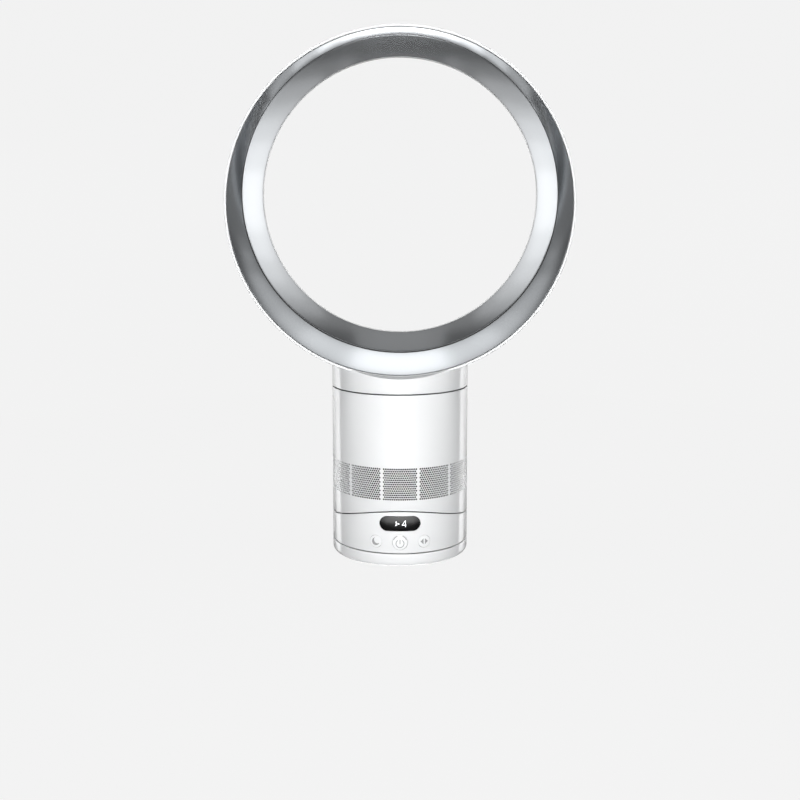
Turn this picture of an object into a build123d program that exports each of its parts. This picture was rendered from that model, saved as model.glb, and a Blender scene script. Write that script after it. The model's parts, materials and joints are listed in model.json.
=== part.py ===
from build123d import *
from math import asin, atan2, ceil, cos, degrees, hypot, pi, radians, sin, sqrt, tan
import os

# A desk fan with no open blades: a round foot, a base that swings on it, a body that tilts on
# the base and holds the impeller, and a ring that the air leaves through a hidden slot.
# Lengths are in mm. +Z is up, the front faces -Y, the origin is on the floor under the foot.

# Outer form, shared by the foot, base, body and collar
body_radius = 72.5
collar_seam_height = 180.4  # the body below this, the ring and its collar above
casing_wall = 2.5
snap_gap = 0.3            # between a casing and what clips into it
fit_gap = 0.1             # between a located piece and its seat
running_gap = 0.05        # radial, round a shaft that turns
seam_gap = 0.8            # open seam between casings that move on each other
collar_gap = 0.7          # seam below the collar

# Ring
ring_radius = 179.0
ring_depth = 104.0
ring_thickness = 31.0     # from the ring's outer face to its throat, if they had one axis
bore_offset = 9.0         # the bore's axis is this far above the ring's own axis
air_lip_step = 1.0        # the lip stands back this far from the throat
air_lip_wall = 2.0
air_lip_setback = 18.0    # from the ring's back to the lip's end
rear_outer_round = 10.5
rear_inner_round = 9.5
cavity_outer_bevel = 5.0
cavity_inner_bevel = 4.5
front_edge_round = 0.9

# Silver front of the ring
rim_gap = 0.6
rim_recess = 0.5
rim_skirt = 8.0
front_wall = 2.0
crease_width = 13.8       # from the throat out to the crease
bevel_depth = 15.1
bevel_wall_shift = 4.0    # the bevel's back face is its front face moved back by this
nose_radius = 13.0
nose_setback = 28.0       # from the ring's back to the nose's centre
tail_angle = 60.0
spacer_count = 10
spacer_angle = 2.5
spacer_length = 7.0

# Collar on the body
collar_rise = 13.6        # from the collar's seam to the ring's lowest point
ledge_drop = 2.1          # the collar's ledge is this far inside the ring's outer face
passage_inset_x = 22.5    # from the collar's face to the air passage
passage_inset_y = 10.0    # from the ring's front and back to the air passage
passage_corner = 30.0

# Remote control's magnets, inside the top of the ring
magnet_radius = 5.0
magnet_thickness = 3.0
magnet_angle = 11.0

# Tilt seat between base and body
tilt_radius = 178.5
seam_low_height = 44.2    # the curved seam's lowest point
tilt_limit = 10.0
saddle_thickness = 3.0
belly_thickness = 3.5
runner_inset = 42.5       # from the body's face to the middle of a runner
runner_stem_width = 6.0
runner_hook_width = 12.0
runner_hook_thickness = 2.5
runner_screw_spread = 24.0
rail_width = 4.0
slot_edge = 2.5           # saddle left beyond the end of a slot
slot_spare_angle = 0.6
cable_hole_radius = 12.0

# Perforated inlet band
panel_count = 12
band_margin = 3.0         # plain wall above and below the holes
band_drop = 0.7           # the band's middle, below the middle of the space for it
grille_row_pitch = 6.6
grille_columns = 4
grille_column_angle = 6.6
grille_hole_radius = 3.1

# Foot
foot_clearance = 1.5
foot_top = 14.9
foot_round = 4.5
foot_inner_bevel = 3.0
pad_count = 5
pad_radius = 7.0
pad_thickness = 2.2
pad_inset = 16.5          # from the foot's edge to a pad's centre

# Swing bearing, gear and motor
swing_limit = 45.0
gear_module = 1.0
gear_teeth = 50
pinion_teeth = 14
pressure_angle = 25.0
tooth_addendum = 0.65
tooth_dedendum = 0.9
tooth_thinning = 0.08     # off each tooth at the pitch circle
gear_thickness = 4.0
pinion_thickness = 3.2
pinion_shaft_radius = 2.0
spare_teeth = 3           # on the sector, past the teeth that the swing uses
hub_radius = 14.0
hub_bore = 9.0
hub_end = 4.6
bush_wall = 2.0
bush_flange = 1.0
boss_wall = 4.4
boss_top = 12.0
boss_ledge = 5.0
land_width = 8.0
land_top = 6.5
glide_inset = 14.5        # from the foot's edge to the middle of the glide ring
glide_width = 4.0
glide_thickness = 3.0
glide_rib_top = 12.5
retainer_thickness = 1.8
retainer_overlap = 3.5
motor_radius = 15.0
motor_height = 17.8
motor_shaft_offset = 6.0
motor_ear_spacing = 35.0
motor_ear_radius = 3.6
motor_ear_thickness = 1.2

# Power socket at the back of the foot
plug_bore_radius = 3.0
plug_bore_depth = 8.0
socket_wall = 1.0
socket_width = 13.0
socket_length = 15.0
contact_radius = 1.0
contact_length = 5.0

# Base
column_inset = 4.0        # from the casing's inner wall to a column's centre
column_radius = 4.5
column_angle = 45.0
case_screw_radius = 1.5
case_head_radius = 2.6
case_head_height = 1.4
display_width = 40.9
display_height = 15.0
display_centre = 47.1
display_recess = 0.1
display_gap = 0.15
display_flange = 1.4
display_flange_thickness = 1.2
board_thickness = 1.6
display_module_thickness = 1.6
display_board_height = 12.0
display_board_width = 42.0
display_board_inset = 7.1
display_module_inset = 5.0
receiver_radius = 2.0
receiver_overlap = 0.6
button_centre = 27.5
button_angle = 20.0
small_button_radius = 6.4
power_button_radius = 7.9
button_proud = 0.4
button_round = 0.5
button_gap = 0.25
button_travel = 0.8
button_flange = 1.2
button_stem_radius = 2.0
plunger_radius = 1.7
switch_size = 6.2
switch_depth = 3.3
switch_back_inset = 10.5
frame_thickness = 2.0
frame_width = 18.0
frame_spare = 2.5         # between the frame's middle and the side switches
frame_arm_width = 3.0
frame_arm_height = 4.0
frame_side_height = 20.0
control_board_inset = 26.0
control_board_depth = 20.0
control_board_y = -28.0
post_height = 6.0
post_radius = 2.5
post_edge = 1.0           # board left outside a post
relay_size = (16.0, 12.0, 6.0)
relay_x = -22.0
chip_size = (10.0, 10.0, 1.2)
chip_x = 12.0

# Body's inner parts, from the bottom up
foam_thickness = 6.0
foam_hole_radius = 20.0
driver_board_size = 50.0
driver_board_height = 55.0
ledge_width = 6.5
ledge_below_seam = 69.4   # the ledge that carries the impeller housing, below the collar's seam
ledge_thickness = 3.0
mount_height = 3.0
mount_radius = 2.6
mount_count = 4
mount_outset = 1.0        # inwards of the ledge's middle
flange_gap = 2.4          # for the seal, between the flange and what clips into the casing
flange_thickness = 2.5
housing_wall = 2.0
housing_gap = 9.0         # between the casing's inner wall and the housing's bore
housing_flare = 10.0      # the housing's bore widens by this much from its mouth
housing_cone_height = 22.0
housing_height = 54.0
seal_height = 3.5
bellmouth_round = 9.0
bellmouth_wall = 1.6
tip_gap = 0.8
blade_count = 9
blade_thickness = 1.3
blade_sweep = 48.0
blade_height = 21.0
blade_below_mouth = 2.0
hub_nose_radius = 8.0
nose_below_mouth = 6.0
impeller_rim = 2.0
impeller_web = 3.0
nut_height = 3.0
nut_radius = 4.6
shaft_radius = 2.5
bearing_radius = 8.0
bearing_height = 5.0
bearing_seat_wall = 2.5
air_gap = 17.0            # between the housing's bore and the motor bucket
bucket_wall = 2.0
bucket_clearance = 1.0
bucket_split = 6.0
bucket_height = 38.0
bucket_dome = 10.0
bucket_cap_radius = 16.0
vane_count = 9
vane_height = 16.0
vane_thickness = 1.5
vane_tilt = 12.0
stator_inset = 18.0       # from the motor bucket's face to the stator's
stator_height = 14.0
stator_lift = 3.0         # above the bucket's split
stator_slots = 6
slot_width = 3.0
stator_yoke = 3.0
carrier_wall = 4.0
magnet_ring_radius = 11.6
stator_air_gap = 0.4
top_ring_height = 9.7
neck_inset = 8.0          # from the body's face to the neck's
neck_wall = 2.5
neck_height = 9.3
lug_count = 3
lug_half_angle = 6.0
lug_depth = 2.5
lug_thickness = 3.0
lug_below_neck = 1.5
seal_thickness = 1.8
bayonet_plate = 1.8
screw_clearance = 0.1
small_screw_radius = 1.1
small_head_radius = 2.0
small_head_height = 1.2
tiny_screw_radius = 0.8
tiny_head_radius = 1.4
tiny_head_height = 1.0

# Worked out from the sizes above
inner_radius = body_radius - casing_wall
clip_radius = inner_radius - snap_gap
ring_axis = collar_seam_height + collar_rise + ring_radius
bore_axis = ring_axis + bore_offset
throat_radius = ring_radius - ring_thickness
air_lip_radius = throat_radius + air_lip_step
crease_radius = throat_radius + crease_width
ring_front = -ring_depth / 2
ring_back = ring_depth / 2
lip_end = ring_back - air_lip_setback
nose_centre = ring_back - nose_setback
nose_axis_radius = throat_radius + nose_radius
rim_radius = ring_radius - casing_wall - rim_gap
rim_front = ring_front + rim_recess
crease_depth = rim_front + bevel_depth
ledge_radius = ring_radius - ledge_drop
body_top = collar_seam_height - collar_gap
base_bottom = foot_top + seam_gap
floor_top = base_bottom + casing_wall
foot_floor = foot_clearance + casing_wall
passage_width = (body_radius - passage_inset_x) * 2
passage_depth = ring_depth - passage_inset_y * 2
tilt_axis_height = seam_low_height + tilt_radius
saddle_radius = tilt_radius + seam_gap / 2
belly_radius = tilt_radius - seam_gap / 2
saddle_under = saddle_radius + saddle_thickness
belly_top = belly_radius - belly_thickness
runner_distance = body_radius - runner_inset
slot_side = runner_distance + runner_stem_width / 2 + fit_gap + rail_width
slot_end = sqrt(clip_radius ** 2 - slot_side ** 2) - slot_edge
slot_angle = degrees(asin(slot_end / saddle_under))
runner_half_angle = slot_angle - tilt_limit - slot_spare_angle
far = ring_radius * 2

pitch_radius = gear_module * gear_teeth / 2
pinion_pitch = gear_module * pinion_teeth / 2
pinion_y = pitch_radius + pinion_pitch
bush_radius = hub_radius + running_gap + bush_wall
boss_inner = bush_radius + running_gap
boss_radius = boss_inner + boss_wall
retainer_radius = hub_radius + retainer_overlap
retainer_screw_tip = hub_end + retainer_thickness * 3
gear_bore = boss_radius + fit_gap * 2
gear_root = pitch_radius - tooth_dedendum * gear_module
sector_teeth = 2 * ceil(swing_limit * gear_teeth / 360) + spare_teeth
gear_screw_circle = (gear_bore + gear_root) / 2
glide_circle = body_radius - glide_inset
glide_top = glide_rib_top + glide_thickness
pad_circle = body_radius - pad_inset
socket_height = (foot_floor + glide_rib_top) / 2
socket_collar = plug_bore_radius + socket_wall
socket_face = sqrt(inner_radius ** 2 - (socket_collar + socket_width / 2) ** 2) - fit_gap
socket_mouth = sqrt(body_radius ** 2 - socket_collar ** 2) - fit_gap
plug_bore_end = socket_mouth - plug_bore_depth

column_circle = inner_radius - column_inset
display_board_distance = inner_radius - display_board_inset
switch_back_distance = inner_radius - switch_back_inset
switch_spacing = switch_back_distance * sin(radians(button_angle))
frame_middle_width = switch_spacing * 2 - switch_size - frame_spare
control_board_width = (inner_radius - control_board_inset) * 2

ledge_top = collar_seam_height - ledge_below_seam
housing_bottom = ledge_top + mount_height
housing_top = housing_bottom + housing_height
cone_top = housing_bottom + housing_cone_height
housing_radius = inner_radius - housing_gap
housing_inlet_radius = housing_radius - housing_flare
flange_radius = clip_radius - flange_gap
impeller_nose_height = housing_bottom - nose_below_mouth
blade_bottom = housing_bottom - blade_below_mouth
impeller_top = blade_bottom + blade_height
bucket_radius = housing_radius - air_gap
hub_cone_radius = bucket_radius - bucket_wall
stator_radius = bucket_radius - stator_inset
bucket_bottom = impeller_top + bucket_clearance
bucket_top = bucket_bottom + bucket_height
split_height = bucket_bottom + bucket_split
lower_bearing_base = bucket_bottom + bucket_wall
upper_bearing_top = bucket_top - bucket_wall
stator_base = split_height + stator_lift
neck_radius = body_radius - neck_inset
neck_top = body_top + neck_height
seal_top = neck_top + fit_gap + seal_thickness
bayonet_radius = neck_radius + lug_depth + snap_gap
body_lug_base = neck_top - lug_thickness - lug_below_neck
foam_base = tilt_axis_height - sqrt(belly_top ** 2 - clip_radius ** 2) + snap_gap
band_space = ledge_top - ledge_thickness - foam_base - foam_thickness
band_height = foam_base + foam_thickness + band_space / 2 - band_drop
grille_rows = 1 + int((band_space - (band_margin + grille_hole_radius) * 2) / grille_row_pitch)


# Building blocks

def disc(radius, low, high):
    """A round plate or bar that stands along Z."""
    return Pos(0, 0, (low + high) / 2) * Cylinder(radius, high - low)


def tube(outer, inner, low, high):
    """A round wall that stands along Z."""
    return disc(outer, low, high) - disc(inner, low, high)


def drum(radius, front, back, height):
    """A round bar along Y, on an axis at the given height."""
    return Pos(0, (front + back) / 2, height) * Rot(90, 0, 0) * Cylinder(radius, back - front)


def tilt_drum(radius, width=far):
    """A round bar along X, on the tilt axis."""
    return Pos(0, 0, tilt_axis_height) * Rot(0, 90, 0) * Cylinder(radius, width)


def turned(points):
    """A closed outline of (radius, height) points, turned about Z."""
    return revolve(Plane.XZ * make_face(Polyline(*points, close=True)), Axis.Z)


def block(x_size, y_size, low, high, x=0.0, y=0.0):
    return Pos(x, y, (low + high) / 2) * Box(x_size, y_size, high - low)


def rod_y(radius, front, back, x, height):
    """A small round bar along Y."""
    return Pos(x, (front + back) / 2, height) * Rot(90, 0, 0) * Cylinder(radius, back - front)


def around(piece, count, start=0.0):
    """Copies of a piece spread evenly about Z."""
    return [Rot(0, 0, start + 360 * k / count) * piece for k in range(count)]


def screw(x, y, seat, tip, shank, head, head_height):
    """A screw along Z whose head rests on seat and whose shank ends at tip."""
    away = 1 if seat > tip else -1
    head_far = seat + away * head_height
    return Pos(x, y, 0) * (disc(head, min(seat, head_far), max(seat, head_far))
                           + disc(shank, min(seat, tip), max(seat, tip)))


def saddle_height(radius, y):
    """Height of a surface round the tilt axis, at a distance from the middle."""
    return tilt_axis_height - sqrt(radius ** 2 - y ** 2)


def tilt_wedge(half_angle, width, x=0.0):
    """The space below the tilt axis within an angle either side of straight down."""
    reach = tilt_radius * 1.2
    side = reach * tan(radians(half_angle))
    outline = Plane.YZ * make_face(Polyline((0, tilt_axis_height), (-side, tilt_axis_height - reach),
                                            (side, tilt_axis_height - reach), close=True))
    return Pos(x - width / 2, 0, 0) * extrude(outline, amount=width)


def group(pieces):
    return Compound(children=list(pieces))


# Ring and collar

def make_nozzle_casing():
    outer = drum(ring_radius, ring_front, ring_back, ring_axis)
    outer = fillet(outer.edges().filter_by(GeomType.CIRCLE).sort_by(Axis.Y)[-1], rear_outer_round)
    outer = fillet(outer.edges().filter_by(GeomType.CIRCLE).sort_by(Axis.Y)[0], front_edge_round)
    outer -= drum(air_lip_radius, ring_front, ring_back, bore_axis)
    bore_edge = outer.edges().filter_by(GeomType.CIRCLE).filter_by(
        lambda edge: abs(edge.radius - air_lip_radius) < 0.01).sort_by(Axis.Y)[-1]
    outer = fillet(bore_edge, rear_inner_round)

    cavity_back = ring_back - casing_wall
    cavity_radius = air_lip_radius + air_lip_wall
    cavity = drum(ring_radius - casing_wall, ring_front, cavity_back, ring_axis)
    cavity = chamfer(cavity.edges().filter_by(GeomType.CIRCLE).sort_by(Axis.Y)[-1],
                     cavity_outer_bevel)
    cavity -= drum(cavity_radius, ring_front, cavity_back, bore_axis)
    cavity_edge = cavity.edges().filter_by(GeomType.CIRCLE).filter_by(
        lambda edge: abs(edge.radius - cavity_radius) < 0.01).sort_by(Axis.Y)[-1]
    cavity = chamfer(cavity_edge, cavity_inner_bevel)
    ring = outer - cavity - drum(cavity_radius, ring_front, lip_end, bore_axis)

    collar = disc(body_radius, collar_seam_height, ring_axis)
    collar -= drum(ledge_radius, -far, far, ring_axis)
    hollow = disc(inner_radius, collar_seam_height, ring_axis)
    hollow -= drum(ledge_radius + casing_wall, -far, far, ring_axis)
    collar -= hollow
    passage = RectangleRounded(passage_width, passage_depth, passage_corner)
    passage_top = ring_axis - ring_radius + casing_wall * 10
    passage_cut = Pos(0, 0, collar_seam_height) * extrude(
        passage, amount=passage_top - collar_seam_height)
    return ring + collar - passage_cut


def nose_point(radius, angle):
    """A point on the ring's rounded nose: (distance from the bore's axis, depth)."""
    return (nose_axis_radius - radius * cos(radians(angle)), nose_centre + radius * sin(radians(angle)))


def band_slope():
    """Angle at which the long inner band runs to the nose."""
    rise = nose_axis_radius - crease_radius
    run = nose_centre - crease_depth
    return degrees(asin(nose_radius / hypot(rise, run)) - atan2(rise, run))


def make_nozzle_front():
    slope = band_slope()
    crease = (crease_radius, crease_depth)
    crease_back = (crease_radius + front_wall * cos(radians(slope)),
                   crease_depth + front_wall * sin(radians(slope)))
    inner_nose = nose_radius - front_wall
    outline = [
        Line(crease, nose_point(nose_radius, -slope)),
        ThreePointArc(nose_point(nose_radius, -slope), nose_point(nose_radius, 0),
                      nose_point(nose_radius, tail_angle)),
        Line(nose_point(nose_radius, tail_angle), nose_point(inner_nose, tail_angle)),
        ThreePointArc(nose_point(inner_nose, tail_angle), nose_point(inner_nose, 0),
                      nose_point(inner_nose, -slope)),
        Line(nose_point(inner_nose, -slope), crease_back),
        Line(crease_back, crease),
    ]
    bore_line = Axis((0, 0, bore_axis), (0, 1, 0))
    band = revolve(Plane.XY.offset(bore_axis) * make_face(outline), bore_line)

    rim = Plane(origin=(0, rim_front, ring_axis), z_dir=(0, 1, 0)) * Circle(rim_radius)
    crease_disc = Plane(origin=(0, crease_depth, bore_axis), z_dir=(0, 1, 0)) * Circle(crease_radius)
    funnel = loft([rim, crease_disc], ruled=True)
    skirt = drum(rim_radius, rim_front, rim_front + rim_skirt, ring_axis)
    skirt -= drum(rim_radius - front_wall, rim_front, rim_front + rim_skirt, ring_axis)
    wall = Pos(0, bevel_wall_shift, 0) * funnel + skirt - funnel
    nose_start = nose_point(nose_radius, -slope)
    plug = make_face(Polyline((0, crease_depth - front_wall), (crease_radius, crease_depth - front_wall),
                              crease, nose_start, (0, nose_start[1]), close=True))
    wall -= revolve(Plane.XY.offset(bore_axis) * plug, bore_line)
    return wall + band


def make_slot_spacers():
    """Small wedges between the air lip and the silver tail, which keep the slot open evenly."""
    lip_outer = air_lip_radius + air_lip_wall + fit_gap
    nose = nose_radius + fit_gap
    start_angle = degrees(asin((lip_end + fit_gap - nose_centre) / nose))
    start = nose_point(nose, start_angle)
    end = nose_point(nose, tail_angle - 5)
    middle = nose_point(nose, (start_angle + tail_angle - 5) / 2)
    back = lip_end + spacer_length
    outline = [
        ThreePointArc(start, middle, end),
        Line(end, (end[0], back)),
        Line((end[0], back), (lip_outer, back)),
        Line((lip_outer, back), (lip_outer, start[1])),
        Line((lip_outer, start[1]), start),
    ]
    bore_line = Axis((0, 0, bore_axis), (0, 1, 0))
    spacer = revolve(Plane.XY.offset(bore_axis) * make_face(outline), bore_line, spacer_angle)
    turn = Pos(0, 0, bore_axis), Pos(0, 0, -bore_axis)
    return group(turn[0] * Rot(0, 18 + 360 * k / spacer_count, 0) * turn[1] * spacer
                 for k in range(spacer_count))


def make_remote_magnets():
    """Two discs against the inside of the ring's top."""
    seat = ring_radius - casing_wall - fit_gap * 2
    magnet = disc(magnet_radius, seat - magnet_thickness, seat)
    return group(Pos(0, 0, ring_axis) * Rot(0, side * magnet_angle, 0) * magnet for side in (-1, 1))


def lug(inner, outer, base):
    """One bayonet lug: a short piece of a ring."""
    ring = tube(outer, inner, base, base + lug_thickness)
    reach = outer * 1.5
    side = reach * tan(radians(lug_half_angle))
    wedge = make_face(Polyline((0, 0), (reach, -side), (reach, side), close=True))
    return ring & Pos(0, 0, base) * extrude(wedge, amount=lug_thickness)


def make_bayonet_ring():
    base = collar_seam_height + fit_gap * 4
    wall = tube(clip_radius, bayonet_radius, base, seal_top + bayonet_plate)
    plate = tube(clip_radius, neck_radius - neck_wall, seal_top, seal_top + bayonet_plate)
    lugs = around(lug(neck_radius + snap_gap, bayonet_radius + fit_gap, base), lug_count, 90)
    return wall + plate + lugs


def make_nozzle_seal():
    return tube(neck_radius, neck_radius - neck_wall, neck_top + fit_gap, seal_top)


# Body

def grille_holes():
    """Staggered six-sided holes through the wall, in even panels with a bar between panels."""
    hole = extrude(RegularPolygon(grille_hole_radius, 6), amount=casing_wall * 4)
    hole = Pos(inner_radius - casing_wall, 0, 0) * Rot(0, 90, 0) * hole
    holes = []
    for panel in range(panel_count):
        for row in range(grille_rows):
            columns = grille_columns - row % 2
            height = band_height + (row - (grille_rows - 1) / 2) * grille_row_pitch
            for column in range(columns):
                angle = 360 / panel_count * panel + (column - (columns - 1) / 2) * grille_column_angle
                holes.append(Rot(0, 0, angle) * Pos(0, 0, height) * hole)
    return holes


def make_body_casing():
    casing = tube(body_radius, inner_radius, saddle_height(belly_radius, 0), body_top)
    casing += tube(inner_radius + fit_gap, inner_radius - ledge_width, ledge_top - ledge_thickness, ledge_top)
    casing &= tilt_drum(belly_radius)
    return casing - grille_holes()


def runner_screw_places():
    return [(side * runner_distance, end * runner_screw_spread / 2)
            for side in (-1, 1) for end in (-1, 1)]


def make_body_floor():
    """The curved plate that closes the body's bottom and rides on the saddle."""
    plate = disc(clip_radius, saddle_height(belly_radius, 0), foam_base - snap_gap)
    plate = (plate & tilt_drum(belly_radius)) - tilt_drum(belly_top)
    spread = driver_board_size / 2 - post_radius - post_edge
    post_base = saddle_height(belly_top, 0) - belly_thickness / 2
    for x in (-spread, spread):
        for y in (-spread, spread):
            plate += Pos(x, y, 0) * disc(post_radius, post_base, driver_board_height)
    plate -= disc(cable_hole_radius, 0, tilt_axis_height)
    for x, y in runner_screw_places():
        plate -= Pos(x, y, 0) * disc(case_screw_radius + screw_clearance, 0, tilt_axis_height)
    return plate


def make_tilt_runners():
    """Two hooked rails: the stem runs in the saddle's slot and the hook under the saddle."""
    runners = []
    for side in (-1, 1):
        x = side * runner_distance
        hook_radius = saddle_under + fit_gap
        stem = tilt_drum(hook_radius + runner_hook_thickness / 2) - tilt_drum(belly_radius + fit_gap / 2)
        stem &= tilt_wedge(runner_half_angle, runner_stem_width, x)
        hook = tilt_drum(hook_radius + runner_hook_thickness) - tilt_drum(hook_radius)
        hook &= tilt_wedge(runner_half_angle, runner_hook_width, x)
        runner = stem + hook
        for place_x, y in runner_screw_places():
            runner -= Pos(place_x, y, 0) * disc(case_screw_radius, runner_screw_tip(y) - 1, tilt_axis_height)
        runners.append(runner)
    return group(runners)


def runner_screw_tip(y):
    return saddle_height(saddle_under, y) + fit_gap


def make_runner_screws():
    return group(screw(x, y, saddle_height(belly_top, y) + snap_gap, runner_screw_tip(y), case_screw_radius,
                       case_head_radius, case_head_height) for x, y in runner_screw_places())


def make_driver_board():
    board = block(driver_board_size, driver_board_size, driver_board_height,
                  driver_board_height + board_thickness)
    board -= disc(cable_hole_radius * 0.6, 0, tilt_axis_height)
    return board


def make_silencing_foam():
    return tube(clip_radius, foam_hole_radius, foam_base, foam_base + foam_thickness)


def make_inlet_bellmouth():
    """The flared mouth that leads the air from the grille into the impeller."""
    centre_radius = housing_inlet_radius + bellmouth_round
    inner = bellmouth_round - bellmouth_wall
    turn = sqrt(0.5)
    outline = [
        ThreePointArc((housing_inlet_radius, housing_bottom),
                      (centre_radius - bellmouth_round * turn, housing_bottom - bellmouth_round * turn),
                      (centre_radius, housing_bottom - bellmouth_round)),
        Line((centre_radius, housing_bottom - bellmouth_round), (centre_radius, housing_bottom - inner)),
        ThreePointArc((centre_radius, housing_bottom - inner),
                      (centre_radius - inner * turn, housing_bottom - inner * turn),
                      (centre_radius - inner, housing_bottom)),
        Line((centre_radius - inner, housing_bottom), (housing_inlet_radius, housing_bottom)),
    ]
    return revolve(Plane.XZ * make_face(outline), Axis.Z)


def make_impeller_housing():
    slope = (housing_radius - housing_inlet_radius) / housing_cone_height
    flange_top = housing_bottom + flange_thickness
    outer_at_flange = housing_inlet_radius + slope * flange_thickness + housing_wall
    return turned([
        (housing_inlet_radius, housing_bottom), (flange_radius, housing_bottom),
        (flange_radius, flange_top), (outer_at_flange, flange_top),
        (housing_radius + housing_wall, cone_top), (housing_radius + housing_wall, housing_top),
        (housing_radius, housing_top), (housing_radius, cone_top)])


def make_rubber_mounts():
    distance = inner_radius - ledge_width / 2 - mount_outset
    mount = Pos(distance, 0, 0) * disc(mount_radius, ledge_top, housing_bottom)
    return group(around(mount, mount_count, 45))


def make_housing_seal():
    return tube(clip_radius, flange_radius + fit_gap, housing_bottom, housing_bottom + seal_height)


def make_motor_bucket_lower():
    wall = tube(bucket_radius, bucket_radius - bucket_wall, bucket_bottom, split_height)
    plate = disc(bucket_radius, bucket_bottom, lower_bearing_base)
    seat = tube(bearing_radius + bearing_seat_wall, bearing_radius + running_gap, lower_bearing_base,
                lower_bearing_base + bearing_height)
    carrier = tube(stator_radius, stator_radius - carrier_wall, lower_bearing_base, stator_base)
    return wall + plate + seat + carrier - disc(shaft_radius * 2, 0, tilt_axis_height)


def make_motor_bucket_upper():
    """The motor's domed cover, with the vanes that straighten the air."""
    shoulder = bucket_top - bucket_dome
    shell = turned([
        (bucket_radius, split_height), (bucket_radius, shoulder), (bucket_cap_radius, bucket_top),
        (0, bucket_top), (0, upper_bearing_top), (bucket_cap_radius - 0.5, upper_bearing_top),
        (bucket_radius - bucket_wall, shoulder - 0.8), (bucket_radius - bucket_wall, split_height)])
    seat = tube(bearing_radius + bearing_seat_wall, bearing_radius + running_gap,
                upper_bearing_top - bearing_height, upper_bearing_top)
    vane_root = bucket_radius - bucket_wall / 2
    vane_length = housing_radius - fit_gap - vane_root
    vane = Rot(vane_tilt, 0, 0) * Box(vane_length, vane_thickness, vane_height)
    vane = Pos(vane_root + vane_length / 2, 0, split_height + bucket_wall + vane_height / 2) * vane
    vane &= disc(housing_radius - fit_gap, split_height, bucket_top)
    return shell + seat + around(vane, vane_count)


def make_motor_stator():
    """An iron ring with winding slots that open towards the magnet."""
    top = stator_base + stator_height
    ring = tube(stator_radius, magnet_ring_radius + stator_air_gap, stator_base, top)
    slot = block(stator_radius, slot_width, stator_base, top, x=stator_radius / 2 + slot_width)
    slot &= disc(stator_radius - stator_yoke, stator_base, top)
    return ring - around(slot, stator_slots)


def make_bearing(low):
    return tube(bearing_radius, shaft_radius + running_gap, low, low + bearing_height)


def make_body_top_ring():
    """The body's open top: a clipped-in ring with a neck and bayonet lugs."""
    ring = turned([
        (neck_radius - neck_wall, body_top - top_ring_height), (clip_radius, body_top - top_ring_height),
        (clip_radius, body_top), (neck_radius, body_top), (neck_radius, neck_top),
        (neck_radius - neck_wall, neck_top)])
    lugs = around(lug(neck_radius - fit_gap, neck_radius + lug_depth, body_lug_base), lug_count, 90)
    return ring + lugs


# Rotor

def make_rotor_shaft():
    return disc(shaft_radius, impeller_nose_height - nut_height - 1, upper_bearing_top - fit_gap)


def make_rotor_magnet():
    return tube(magnet_ring_radius, shaft_radius, stator_base + snap_gap, stator_base + stator_height - snap_gap)


def hub_cone(height):
    """Radius of the impeller's cone at a height."""
    share = (height - impeller_nose_height) / (impeller_top - impeller_nose_height)
    return hub_nose_radius + share * (hub_cone_radius - hub_nose_radius)


def make_impeller():
    """Mixed-flow impeller: a cone with swept blades that run close to the housing's cone."""
    sleeve = shaft_radius * 3
    hub = turned([
        (shaft_radius, impeller_nose_height), (hub_nose_radius, impeller_nose_height),
        (hub_cone_radius, impeller_top - impeller_rim), (hub_cone_radius, impeller_top),
        (hub_cone_radius - impeller_rim * 2, impeller_top), (sleeve, impeller_nose_height + hub_nose_radius),
        (sleeve, impeller_top - impeller_web), (shaft_radius, impeller_top - impeller_web)])
    slope = (housing_radius - housing_inlet_radius) / housing_cone_height
    tip_bottom = housing_inlet_radius - tip_gap - slope * (housing_bottom - blade_bottom)
    tip_top = tip_bottom + slope * blade_height
    zone = turned([
        (hub_cone(blade_bottom) - 2, blade_bottom), (tip_bottom, blade_bottom),
        (tip_top, impeller_top), (hub_cone_radius - 2, impeller_top),
        (hub_cone_radius - 2, impeller_top - impeller_rim - 1)])
    sections = []
    for step in range(4):
        share = step / 3
        turn = radians(blade_sweep * share)
        plane = Plane(origin=(0, 0, blade_bottom + blade_height * share),
                      x_dir=(cos(turn), sin(turn), 0), z_dir=(0, 0, 1))
        sections.append(plane * Pos(housing_radius / 2 + 3, 0) * Rectangle(housing_radius, blade_thickness))
    blade = loft(sections, ruled=True) & zone
    return hub + around(blade, blade_count)


def make_impeller_nut():
    nut = Pos(0, 0, impeller_nose_height - nut_height) * extrude(RegularPolygon(nut_radius, 6), amount=nut_height)
    return nut - disc(shaft_radius, 0, tilt_axis_height)


# Base

def pill(width, height):
    """A pill shape, seen from the front, drawn at the display's centre."""
    front = Plane(origin=(0, 0, display_centre), x_dir=(1, 0, 0), z_dir=(0, -1, 0))
    return front * SlotOverall(width, height)


def column_places():
    return [(column_circle * cos(radians(column_angle + 90 * k)),
             column_circle * sin(radians(column_angle + 90 * k))) for k in range(4)]


def button_list():
    """Angle from the front and radius of each button, left to right."""
    return [(-button_angle, small_button_radius), (0.0, power_button_radius),
            (button_angle, small_button_radius)]


def make_base_casing():
    casing = tube(body_radius, inner_radius, base_bottom, display_centre * 2)
    for x, y in column_places():
        casing += Pos(x, y, 0) * disc(column_radius, floor_top, display_centre * 2)
    casing &= disc(body_radius, 0, display_centre * 2)
    trough = tilt_drum(saddle_radius)
    casing -= trough
    casing -= tilt_drum(saddle_under + fit_gap) & disc(inner_radius, 0, tilt_axis_height)
    for x, y in column_places():
        casing -= Pos(x, y, 0) * disc(case_screw_radius + screw_clearance, 0, display_centre * 2)
    casing -= extrude(pill(display_width, display_height), amount=body_radius * 2)
    for angle, radius in button_list():
        casing -= Rot(0, 0, angle) * rod_y(radius + button_gap, -body_radius * 2, 0, 0, button_centre)
    return casing


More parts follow.
